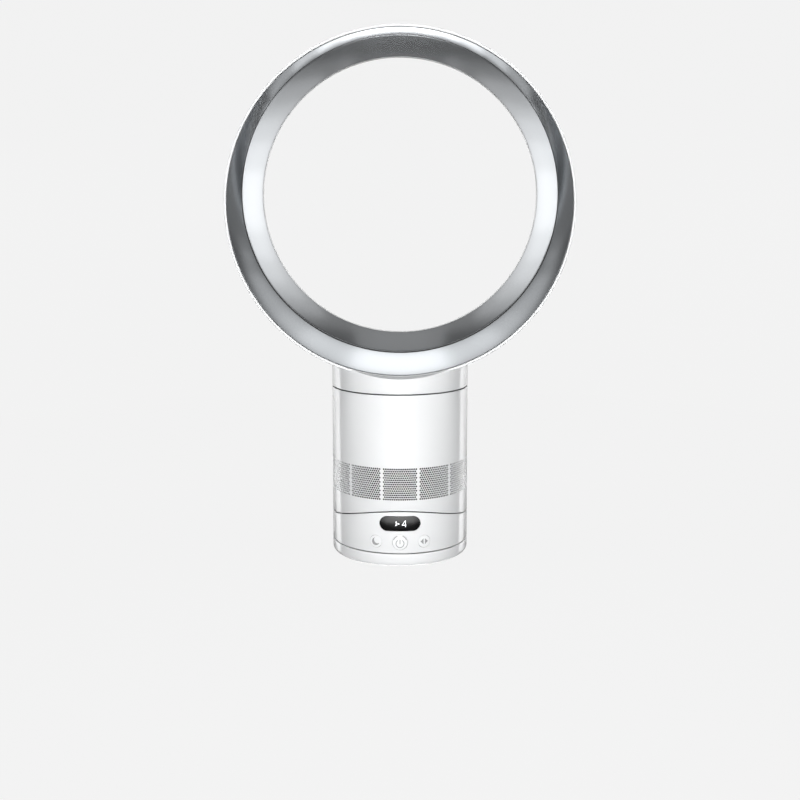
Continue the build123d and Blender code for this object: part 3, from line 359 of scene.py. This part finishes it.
def makeRingFront():
    bm = bmesh.new()
    slope = radians(front["throatSlope"])
    noseCentre = aboutRing(front["noseAxis"], front["noseDepth"])
    start = bm.verts.new(aboutRing(front["noseAxis"] - front["noseRadius"] * cos(slope),
                                   front["noseDepth"] - front["noseRadius"] * sin(slope)))
    tail = bmesh.ops.spin(bm, geom=[start], cent=noseCentre, axis=(1, 0, 0),
                          angle=radians(front["tailAngle"]) + slope, steps=front["noseSteps"])["geom_last"][0]
    bm.edges.new((tail, bm.verts.new(tail.co + (noseCentre - tail.co).normalized() * front["wall"])))
    # the band swells slightly inwards: an arc from the nose that ends one step before the crease
    chord = aboutRing(front["creaseRadius"], front["creaseDepth"]) - start.co
    half = atan2(chord.z, -chord.y) - slope
    swell = start.co + (noseCentre - start.co).normalized() * (chord.length / (2 * sin(half)))
    arc = bmesh.ops.spin(bm, geom=[start], cent=swell, axis=(-1, 0, 0),
                         angle=2 * half * (front["bandSteps"] - 1) / front["bandSteps"],
                         steps=front["bandSteps"] - 1)["geom_last"][0]
    # a fine seam runs along the crease, cut into the bevel's inner edge
    crease = Vector((front["creaseRadius"], front["creaseDepth"]))
    bevel = (Vector((front["rimRadius"], front["rimDepth"])) - crease).normalized()
    edge = crease + bevel * front["seamWide"]
    deep = Vector((-bevel.y, bevel.x)) * front["seamDeep"]
    spinOutline(bm, [(front["rimRadius"], front["rimDepth"] + front["skirt"], 0),
                     (front["rimRadius"], front["rimDepth"], front["edgeRound"]),
                     (*edge, front["seamRound"]), (*(edge + deep), 0), (*(crease + deep), 0),
                     (*crease, front["seamRound"])],
                aboutRing, (0, 0, ringAxis), (0, 1, 0), ringForm["steps"], after=arc)
    liftBore(bm.verts, front["creaseRadius"], front["rimRadius"])
    addPiece("ringFront", bm, "nozzle", finishes["silver_ring"], ["nozzle_front"], 50)

    # a dark strip lies in the seam, just below the bevel: painted shade for the dark line along the crease
    sunk = deep.normalized() * front["shadeStripSunk"]
    below = sunk + deep.normalized() * front["shadeStripThick"]
    inner, outer = crease + bevel * front["shadeStripGap"], edge - bevel * front["shadeStripGap"]
    shadeStrip = bmesh.new()
    spinOutline(shadeStrip, [(*(inner + sunk), 0), (*(outer + sunk), 0),
                       (*(outer + below), 0), (*(inner + below), 0)],
                aboutRing, (0, 0, ringAxis), (0, 1, 0), ringForm["steps"], closed=True)
    liftBore(shadeStrip.verts, front["creaseRadius"], front["rimRadius"])
    addPiece("creaseShadeStrip", shadeStrip, "nozzle", finishes["rubber"])


makeRingFront()

# Perforated body: even panels of small round holes, staggered row by row, between plain bars
grille = {"panels": 12, "rows": 15, "columns": 16, "pitch": 0.00224, "holeRadius": 0.00103,
          "centre": 0.0877, "sides": 8, "wall": 0.0005, "clearAbove": 0.01, "clearBelow": 0.005,
          "shellTop": 0.1794}
sleeve = {"thick": 0.0006, "gap": 0.0002, "overlap": 0.001, "steps": 144}


def addCell(bm, x, z):
    # a square with eight points on its outline and a round hole in it
    half = grille["pitch"] / 2
    verts = bmesh.ops.create_circle(bm, cap_ends=True, segments=grille["sides"], radius=half)["verts"]
    for vert in verts:
        vert.co *= half / max(abs(vert.co.x), abs(vert.co.y))
    middle = verts[0].link_faces[0]
    bmesh.ops.inset_individual(bm, faces=[middle], thickness=half - grille["holeRadius"])
    for vert in middle.verts:
        vert.co = vert.co.normalized() * grille["holeRadius"]
    verts += middle.verts[:]
    bmesh.ops.delete(bm, geom=[middle], context="FACES_ONLY")
    bmesh.ops.transform(bm, matrix=Matrix.Translation((x, 0, z)) @ Matrix.Rotation(pi / 2, 4, "X"), verts=verts)


def widen(bm, reach, wider):
    # carries the edges that stand at the reach, left and right, out to the wider reach
    for side in (-1, 1):
        edges = loopAt(bm, lambda co: abs(co.x - side * reach) < 1e-6)
        made = bmesh.ops.extrude_edge_only(bm, edges=edges)["geom"]
        bmesh.ops.translate(bm, vec=(side * (wider - reach), 0, 0),
                            verts=[item for item in made if isinstance(item, bmesh.types.BMVert)])
    bmesh.ops.remove_doubles(bm, verts=bm.verts, dist=1e-6)


def makeBodyShell():
    bm = bmesh.new()
    pitch, rows, columns = grille["pitch"], grille["rows"], grille["columns"]
    for row in range(rows):
        count = columns - row % 2
        for column in range(count):
            addCell(bm, (column - (count - 1) / 2) * pitch, grille["centre"] + (row - (rows - 1) / 2) * pitch)
    bmesh.ops.remove_doubles(bm, verts=bm.verts, dist=1e-6)
    reach = pitch * columns / 2
    radius = bodyForm["radius"]
    turn = 2 * pi / grille["panels"]
    widen(bm, reach - pitch / 2, reach)
    widen(bm, reach, turn / 2 * radius)
    for vert in bm.verts:
        around = vert.co.x / radius
        vert.co = Vector((radius * sin(around), -radius * cos(around), vert.co.z))
    bmesh.ops.spin(bm, geom=bm.verts[:] + bm.edges[:] + bm.faces[:], cent=(0, 0, 0), axis=(0, 0, 1),
                   angle=2 * pi - turn, steps=grille["panels"] - 1, use_duplicate=True)
    bmesh.ops.remove_doubles(bm, verts=bm.verts, dist=1e-6)

    low, high = grille["centre"] - pitch * rows / 2, grille["centre"] + pitch * rows / 2
    for level in (low, high):
        made = bmesh.ops.extrude_edge_only(bm, edges=loopAt(bm, lambda co: abs(co.z - level) < 1e-6))["geom"]
        for vert in made:
            if isinstance(vert, bmesh.types.BMVert):
                belly = tiltSeat["axisHeight"] - sqrt(tiltSeat["bellyRadius"] ** 2 - vert.co.y ** 2)
                vert.co.z = grille["shellTop"] if level == high else belly
    bmesh.ops.recalc_face_normals(bm, faces=bm.faces)
    bmesh.ops.solidify(bm, geom=bm.faces[:], thickness=grille["wall"])
    roundRims(bm, radius, low, high)
    addPiece("bodyShell", bm, "body", finishes["white_casing"], ["body_casing"])
    # the dark sleeve behind the holes is painted shade
    makeShadeSleeve(radius - grille["wall"] - sleeve["gap"], low - sleeve["overlap"], high + sleeve["overlap"])


def makeShadeSleeve(radius, low, high):
    # a dark sleeve lies against the wall: painted shade for the dark inside seen through the holes, and nobody
    # sees through the holes to the far side
    bm = bmesh.new()
    inside = radius - sleeve["thick"]
    spinOutline(bm, [(radius, low, 0), (radius, high, 0), (inside, high, 0), (inside, low, 0)],
                aboutZ, (0, 0, 0), (0, 0, 1), sleeve["steps"], closed=True)
    addPiece("shadeSleeve", bm, "body", finishes["foam"])


def roundRims(bm, radius, low, high):
    # the outer edges at the shell's top and at its belly
    above, below = high + grille["clearAbove"], low - grille["clearBelow"]
    rim = [edge for edge in bm.edges if not edge.is_boundary
           and all(hypot(vert.co.x, vert.co.y) > radius - 1e-5 for vert in edge.verts)
           and (all(vert.co.z > above for vert in edge.verts)
                or all(vert.co.z < below for vert in edge.verts))]
    bmesh.ops.bevel(bm, geom=rim, offset=bodyForm["edgeRound"], offset_type="OFFSET", segments=3, profile=0.5,
                    affect="EDGES", material=-1)


makeBodyShell()

# Base: the curved seat's wall, with the window's and the buttons' openings
base = {"bottom": 0.0158, "top": 0.06, "steps": 720, "cutFrom": 1.2, "cutThrough": 0.5}  # cuts in body radii
buttons = {"height": 0.0275, "proud": 0.0004, "gap": 0.00025, "depth": 0.004, "edgeRound": 0.0005,
           "sleep": (-20.0, 0.0064), "power": (0.0, 0.0079), "swing": (20.0, 0.0064)}


def pillShape(bm, width, height):
    made = bmesh.ops.create_circle(bm, cap_ends=True, segments=roundSides, radius=height / 2,
                                   matrix=Matrix.Rotation(pi / 2, 4, "X"))["verts"]
    for vert in made:
        if abs(vert.co.x) > 1e-6:
            vert.co.x += (width - height) / 2 * (1 if vert.co.x > 0 else -1)


def throughCutter(bm, angle, height):
    # a flat outline becomes a bar through the front wall
    face = bmesh.ops.extrude_face_region(bm, geom=bm.faces[:])["geom"]
    bmesh.ops.translate(bm, vec=(0, -bodyForm["radius"] * base["cutFrom"], height), verts=bm.verts)
    bmesh.ops.translate(bm, vec=(0, bodyForm["radius"] * base["cutThrough"], 0),
                        verts=[item for item in face if isinstance(item, bmesh.types.BMVert)])
    bmesh.ops.rotate(bm, cent=(0, 0, 0), matrix=Matrix.Rotation(radians(angle), 3, "Z"), verts=bm.verts)
    return bm


def makeBaseShell():
    bm = bmesh.new()
    radius, wall, edge = bodyForm["radius"], bodyForm["wall"], bodyForm["edgeRound"]
    spinOutline(bm, [(radius, base["bottom"], edge), (radius, base["top"], edge),
                     (radius - wall, base["top"], 0), (radius - wall, base["bottom"], 0)],
                aboutZ, (0, 0, 0), (0, 0, 1), base["steps"], closed=True)
    for vert in bm.verts:  # the flat top follows the round seat
        if vert.co.z > base["top"] - edge * 2:
            seat = tiltSeat["axisHeight"] - sqrt(tiltSeat["saddleRadius"] ** 2 - vert.co.y ** 2)
            vert.co.z += seat - base["top"]
    window = bmesh.new()
    pillShape(window, display["width"], display["height"])
    cutters = [throughCutter(window, 0, display["centre"])]
    for name in ("sleep", "power", "swing"):
        angle, size = buttons[name]
        hole = bmesh.new()
        bmesh.ops.create_circle(hole, cap_ends=True, segments=roundSides, radius=size + buttons["gap"],
                                matrix=Matrix.Rotation(pi / 2, 4, "X"))
        cutters.append(throughCutter(hole, angle, buttons["height"]))
    dressMesh("baseShell", cutOut(bm, cutters), "base", finishes["white_casing"],
              ["base_casing"])


makeBaseShell()

# Foot: a shallow dish with a rounded lower edge and the hole for the plug at the back
foot = {"bottom": 0.0015, "top": 0.0147, "lowerRound": 0.0045, "floor": 0.004, "floorRound": 0.003,
        "bossInner": 0.0161, "bossOuter": 0.0206, "bossTop": 0.012, "recess": 0.0181, "recessTop": 0.005,
        "socketHeight": 0.00825, "socketRadius": 0.0041, "socketDepth": 0.02, "socketSides": 48}


def makeFootShell():
    bm = bmesh.new()
    radius, inner = bodyForm["radius"], bodyForm["radius"] - bodyForm["wall"]
    spinOutline(bm, [(foot["bossInner"], foot["bossTop"], 0), (foot["bossInner"], foot["recessTop"], 0),
                     (foot["recess"], foot["recessTop"], 0), (foot["recess"], foot["bottom"], 0),
                     (radius, foot["bottom"], foot["lowerRound"]), (radius, foot["top"], bodyForm["edgeRound"]),
                     (inner, foot["top"], 0), (inner, foot["floor"], foot["floorRound"]),
                     (foot["bossOuter"], foot["floor"], 0), (foot["bossOuter"], foot["bossTop"], 0)],
                aboutZ, (0, 0, 0), (0, 0, 1), ringForm["steps"], closed=True)
    hole = bmesh.new()
    place = Matrix.Translation((0, radius, foot["socketHeight"])) @ Matrix.Rotation(pi / 2, 4, "X")
    bmesh.ops.create_cone(hole, cap_ends=True, segments=foot["socketSides"], radius1=foot["socketRadius"],
                          radius2=foot["socketRadius"], depth=foot["socketDepth"], matrix=place)
    dressMesh("footShell", cutOut(bm, [hole]), "foot", finishes["white_casing"],
              ["foot_disc"])


makeFootShell()


def bendOnBody(bm, radius, step=0.001):
    # cuts a flat piece into narrow strips and lays it on the round wall, keeping its depth
    reach = max(abs(vert.co.x) for vert in bm.verts)
    for strip in range(1, int(reach / step) + 1):
        for side in (-1, 1):
            bmesh.ops.bisect_plane(bm, geom=bm.verts[:] + bm.edges[:] + bm.faces[:], dist=1e-8,
                                   plane_co=(side * strip * step, 0, 0), plane_no=(1, 0, 0))
    for vert in bm.verts:
        vert.co.y -= sqrt(radius ** 2 - vert.co.x ** 2)


def deepen(bm, depth, edgeRound):
    # gives a bent face its rounded edge and its sides
    outline = [edge for edge in bm.edges if edge.is_boundary]
    made = bmesh.ops.extrude_edge_only(bm, edges=outline)["geom"]
    bmesh.ops.translate(bm, vec=(0, depth, 0),
                        verts=[item for item in made if isinstance(item, bmesh.types.BMVert)])
    bmesh.ops.bevel(bm, geom=outline, offset=edgeRound, offset_type="OFFSET", segments=4, profile=0.5,
                    affect="EDGES", material=-1)
    back = [edge for edge in bm.edges if edge.is_boundary]
    bmesh.ops.contextual_create(bm, geom=back)


def turnAndLift(bm, angle, height):
    bmesh.ops.translate(bm, vec=(0, 0, height), verts=bm.verts)
    bmesh.ops.rotate(bm, cent=(0, 0, 0), matrix=Matrix.Rotation(radians(angle), 3, "Z"), verts=bm.verts)


def makeDisplayWindow():
    bm = bmesh.new()
    gap = display["gap"] * 2
    pillShape(bm, display["width"] - gap, display["height"] - gap)
    bendOnBody(bm, bodyForm["radius"] - display["recess"])
    deepen(bm, display["depth"], display["edgeRound"])
    turnAndLift(bm, 0, display["centre"])
    addPiece("displayWindow", bm, "base", finishes["smoked_window"], ["display_window"], 45)


makeDisplayWindow()


def makeButton(name):
    angle, size = buttons[name]
    bm = bmesh.new()
    bmesh.ops.create_circle(bm, cap_ends=True, segments=roundSides, radius=size,
                            matrix=Matrix.Rotation(pi / 2, 4, "X"))
    bendOnBody(bm, bodyForm["radius"] + buttons["proud"])
    deepen(bm, buttons["depth"], buttons["edgeRound"])
    turnAndLift(bm, angle, buttons["height"])
    addPiece(name + "Cap", bm, name + "_button", finishes["white_button"],
             [name + "_button"], 45)


for name in ("sleep", "power", "swing"):
    makeButton(name)

# Printed signs, and grey arcs of painted shadow by the power button, thin skins just proud of what carries them
signs = {"lift": 0.00003, "moonRadius": 0.0041, "biteRadius": 0.0036, "biteShift": 0.0023,
         "moonTurn": -43.0, "moonSteps": 24,
         "powerRing": 0.0045, "powerLine": 0.0008, "powerDrop": 0.0013, "powerGap": 34.0, "lineRise": 0.42,
         "triangleWidth": 0.0022, "triangleHeight": 0.0036, "triangleShift": 0.00185,
         "arcInner": 0.0066, "arcOuter": 0.0075, "arcGap": 22.0, "arcEnd": 70.0, "arcSteps": 12}


def arcStrip(bm, inner, outer, start, sweep, steps=24):
    # a flat strip round the middle, from an angle above the right side
    edge = bm.edges.new([bm.verts.new((radius * cos(start), 0, radius * sin(start)))
                         for radius in (inner, outer)])
    bmesh.ops.spin(bm, geom=[edge, *edge.verts], cent=(0, 0, 0), axis=(0, -1, 0), angle=sweep, steps=steps)


def bar(bm, width, height, x=0.0, z=0.0):
    place = Matrix.Translation((x, 0, z)) @ Matrix.Diagonal((width, 1, height, 1)) \
        @ Matrix.Rotation(pi / 2, 4, "X")
    bmesh.ops.create_grid(bm, x_segments=1, y_segments=1, size=0.5, matrix=place)


def moonSign(bm):
    # the outer edge and the bite out of it, joined into a crescent
    radius, bite, shift = signs["moonRadius"], signs["biteRadius"], signs["biteShift"]
    across = (radius ** 2 - bite ** 2 + shift ** 2) / (2 * shift)
    tip = Vector((across, 0, sqrt(radius ** 2 - across ** 2)))
    chains = []
    for centre in (Vector((0, 0, 0)), Vector((shift, 0, 0))):
        before = set(bm.edges)
        turn = 2 * (pi - atan2(tip.z, tip.x - centre.x))
        bmesh.ops.spin(bm, geom=[bm.verts.new(tip)], cent=centre, axis=(0, -1, 0), angle=turn,
                       steps=signs["moonSteps"])
        chains += list(set(bm.edges) - before)
    bmesh.ops.bridge_loops(bm, edges=chains)
    bmesh.ops.rotate(bm, cent=(0, 0, 0), matrix=Matrix.Rotation(radians(signs["moonTurn"]), 3, "Y"),
                     verts=bm.verts)


def powerSign(bm):
    ring, line = signs["powerRing"], signs["powerLine"]
    gap = radians(signs["powerGap"])
    arcStrip(bm, ring - line, ring, pi / 2 + gap, 2 * (pi - gap))
    bar(bm, line, ring, 0, ring * signs["lineRise"])
    bmesh.ops.translate(bm, vec=(0, 0, -signs["powerDrop"]), verts=bm.verts)


def swingSign(bm):
    for side in (-1, 1):
        place = Matrix.Translation((side * signs["triangleShift"], 0, 0)) \
            @ Matrix.Diagonal((side * signs["triangleWidth"], 1, signs["triangleHeight"], 1)) \
            @ Matrix.Rotation(pi / 2, 4, "X") @ Matrix.Rotation(-pi / 2, 4, "Z")
        bmesh.ops.create_circle(bm, cap_ends=True, segments=3, radius=1, matrix=place)


def addSign(name, draw, body, finish, radius, angle, height):
    bm = bmesh.new()
    draw(bm)
    bendOnBody(bm, radius + signs["lift"])
    turnAndLift(bm, angle, height)
    addPiece(name, bm, body, finish)


buttonFace = bodyForm["radius"] + buttons["proud"]
for name, draw in (("sleep", moonSign), ("power", powerSign), ("swing", swingSign)):
    addSign(name + "Sign", draw, name + "_button", iconInk, buttonFace, buttons[name][0],
            buttons["height"])


def powerGapShadows(bm):
    # painted shadow: two grey arcs stand for shade in the gap above the power button
    sweep = signs["arcEnd"] - signs["arcGap"]
    for start in (90 - signs["arcEnd"], 90 + signs["arcGap"]):
        arcStrip(bm, signs["arcInner"], signs["arcOuter"], radians(start), radians(sweep),
                 signs["arcSteps"])


addSign("powerGapShadows", powerGapShadows, "power_button", gapShadowInk, buttonFace, 0, buttons["height"])

windowFace = bodyForm["radius"] - display["recess"]
blades = {"count": 3, "place": -0.0031, "turn": 20, "out": 0.0015, "up": 0.0005, "radius": 0.00105,
          "stretch": (1.2, 1, 0.62, 1), "sides": 16}


def fanSign(bm):
    for blade in range(blades["count"]):
        turn = Matrix.Rotation(radians(360 / blades["count"] * blade + blades["turn"]), 4, "Y")
        place = turn @ Matrix.Translation((blades["out"], 0, blades["up"])) \
            @ Matrix.Diagonal(blades["stretch"]) @ Matrix.Rotation(pi / 2, 4, "X")
        bmesh.ops.create_circle(bm, cap_ends=True, segments=blades["sides"], radius=blades["radius"],
                                matrix=place)
    bmesh.ops.translate(bm, vec=(blades["place"], 0, 0), verts=bm.verts)


addSign("fanSign", fanSign, "base", glow, windowFace, 0, display["centre"])

number = {"place": 0.0042, "line": 0.00075, "width": 0.0050, "height": 0.0070, "overhang": 0.0011,
          "cross": -0.0014}


def numberSign(bm):
    # a plain 4: its stem, its crossbar and its slope, as three flat bars
    line, width, height, cross = number["line"], number["width"], number["height"], number["cross"]
    stem = width / 2 - number["overhang"]
    bar(bm, line, height, stem, 0)
    bar(bm, width, line, 0, cross)
    low, high = Vector((-width / 2 + line / 2, cross)), Vector((stem - line / 4, height / 2 - line / 3))
    lean = atan2(high.x - low.x, high.y - low.y)
    leaning = bmesh.new()
    bar(leaning, line, (high - low).length)
    bmesh.ops.rotate(leaning, cent=(0, 0, 0), matrix=Matrix.Rotation(lean, 3, "Y"), verts=leaning.verts)
    bmesh.ops.translate(leaning, vec=((low.x + high.x) / 2, 0, (low.y + high.y) / 2), verts=leaning.verts)
    flat = bpy.data.meshes.new("slope")
    leaning.to_mesh(flat)
    leaning.free()
    bm.from_mesh(flat)
    bmesh.ops.translate(bm, vec=(number["place"], 0, 0), verts=bm.verts)


addSign("numberSign", numberSign, "base", glow, windowFace, 0, display["centre"])

# Studio: a pale round room, and soft boxes that the camera doesn't see
studio = {"floorRadius": 3.4, "wallHeight": 4.5, "bend": 2.4, "steps": 96, "pale": 0.004, "glow": 0.884,
          "lampDistance": 2.5, "air": 0.12}


def makeStage():
    pale = Recipe("studioPale", Roughness=1.0, Emission_Strength=studio["glow"], Specular_IOR_Level=0.0)
    cloud = pale.noise(0.6)
    pale.colour(pale.between(cloud, grey(studio["pale"]), grey(studio["pale"] + 0.01)))
    pale.give(pale.shader.inputs["Emission Color"], pale.between(cloud, grey(0.995), grey(1.0)))
    bm = bmesh.new()
    spinOutline(bm, [(0, 0, 0), (studio["floorRadius"], 0, studio["bend"]),
                     (studio["floorRadius"], studio["wallHeight"], 0)],
                aboutZ, (0, 0, 0), (0, 0, 1), studio["steps"])
    bmesh.ops.remove_doubles(bm, verts=bm.verts, dist=1e-6)
    mesh = bpy.data.meshes.new("studioFloor")
    bm.to_mesh(mesh)
    bm.free()
    mesh.shade_smooth()
    mesh.materials.append(pale.material)
    floor = bpy.data.objects.new("studioFloor", mesh)
    bpy.context.scene.collection.objects.link(floor)
    floor.visible_glossy = False
    floor.visible_diffuse = False
    floor.visible_shadow = False


makeStage()


def softBox(name, turn, rise, halfWide, halfHigh, bright):
    # a panel that faces the ring's middle, turned round it and raised by these angles
    distance = studio["lampDistance"]
    out = Vector((sin(turn) * cos(rise), -cos(turn) * cos(rise), sin(rise)))
    lamp = bpy.data.lights.new(name, "AREA")
    lamp.shape = "RECTANGLE"
    lamp.size, lamp.size_y = (2 * distance * tan(radians(half)) for half in (halfWide, halfHigh))
    lamp.energy = bright * pi * lamp.size * lamp.size_y
    holder = bpy.data.objects.new(name, lamp)
    holder.location = Vector((0, 0, ringAxis)) + out * distance
    holder.rotation_euler = out.to_track_quat("Z", "Y").to_euler()
    holder.visible_camera = False
    bpy.context.scene.collection.objects.link(holder)
    return holder


# turn from the front, rise, half the width and half the height, all in degrees, and how bright; panels of one
# kind lie over each other, so that their light fades out in steps that the finishes blur
fillLights = {  # light the surfaces, but don't show in the gloss
    "fillFront": (0, -2, 14, 14, 14.1), "fillTop": (0, 82, 26, 11, 6.5), "fillLow": (0, -40, 25, 14, 0.35),
    "fillSide": (140, 0, 8, 24, 7.2), "fillBack": (180, 10, 20, 20, 0.5)}
glossLights = {  # show in the gloss only
    "front": (0, 8, 14, 14, 1.2), "frontBody": (0, -15.5, 26, 6.5, 1.3), "frontWide": (0, -15.5, 48, 6.5, 0.7),
    "overhead": (0, 82, 26, 11, 6.6),
    "arch1": (0, 57, 14, 8, 0.8), "arch2": (0, 56, 23, 8, 0.9), "arch3": (0, 56, 31, 8, 1.0),
    "arch4": (0, 56, 40, 8, 0.65), "arch5": (0, 56, 49, 8, 0.5), "arch6": (0, 56, 57, 8, 0.45),
    "arch7": (0, 56, 67, 9, 0.2), "arch8": (0, 55, 73, 10, 0.1),
    "low1": (180, -50, 9, 6, 3.6), "low2": (180, -50, 15, 6, 1.2), "low3": (180, -50.5, 23, 6, 0.95),
    "low4": (180, -52.5, 33, 6, 0.55), "low5": (180, -54, 46, 7, 0.5),
    "rear1": (147, 2, 6, 6, 0.27), "rear2": (148, 2, 6, 12, 0.28), "rear3": (149, 2, 7, 17, 0.28),
    "rear4": (151, 2, 9, 20, 0.26), "rear5": (153, 1, 11, 25, 0.32), "rear6": (157, 0, 13, 29, 0.18),
    "edge1": (125, -8, 4, 20, 2.8), "edge2": (135, -8, 5.5, 20, 1.8), "wide": (90, -2, 18, 26, 0.1),
    "throatLow1": (180, 31, 5, 6, 0.24), "throatLow2": (180, 31, 9, 8, 0.22),
    "throatHigh": (180, -22, 12, 7, 0.1), "rear": (180, 5, 8, 8, 1.0), "ledge": (180, -77, 14, 10, 3.5),
}
for lights, fill in ((fillLights, True), (glossLights, False)):
    for name, (turn, rise, wide, high, bright) in lights.items():
        for side in (1, -1) if turn % 180 else (1,):
            holder = softBox(name, radians(turn) * side, radians(rise), wide, high, bright)
            holder.visible_glossy = not fill
            holder.visible_diffuse = fill

world = bpy.data.worlds.new("studioAir")
world.use_nodes = True
world.node_tree.nodes["Background"].inputs["Color"].default_value = grey(studio["air"])
world.cycles_visibility.diffuse = False
bpy.context.scene.world = world
bpy.context.scene.view_settings.view_transform = "Standard"

# Camera: almost level with the middle of the ring
view = {"distance": 1.182, "height": 0.3675, "pitch": 5.5, "lens": 49.9, "sensor": 36, "shift": -0.105}
lens = bpy.data.cameras.new("camera")
lens.lens = view["lens"]
lens.sensor_width = view["sensor"]
lens.shift_y = view["shift"]
camera = bpy.data.objects.new("camera", lens)
camera.location = (0, -view["distance"], view["height"])
camera.rotation_euler = (radians(90 - view["pitch"]), 0, 0)
bpy.context.scene.collection.objects.link(camera)
bpy.context.scene.camera = camera
print("camera and lights set")
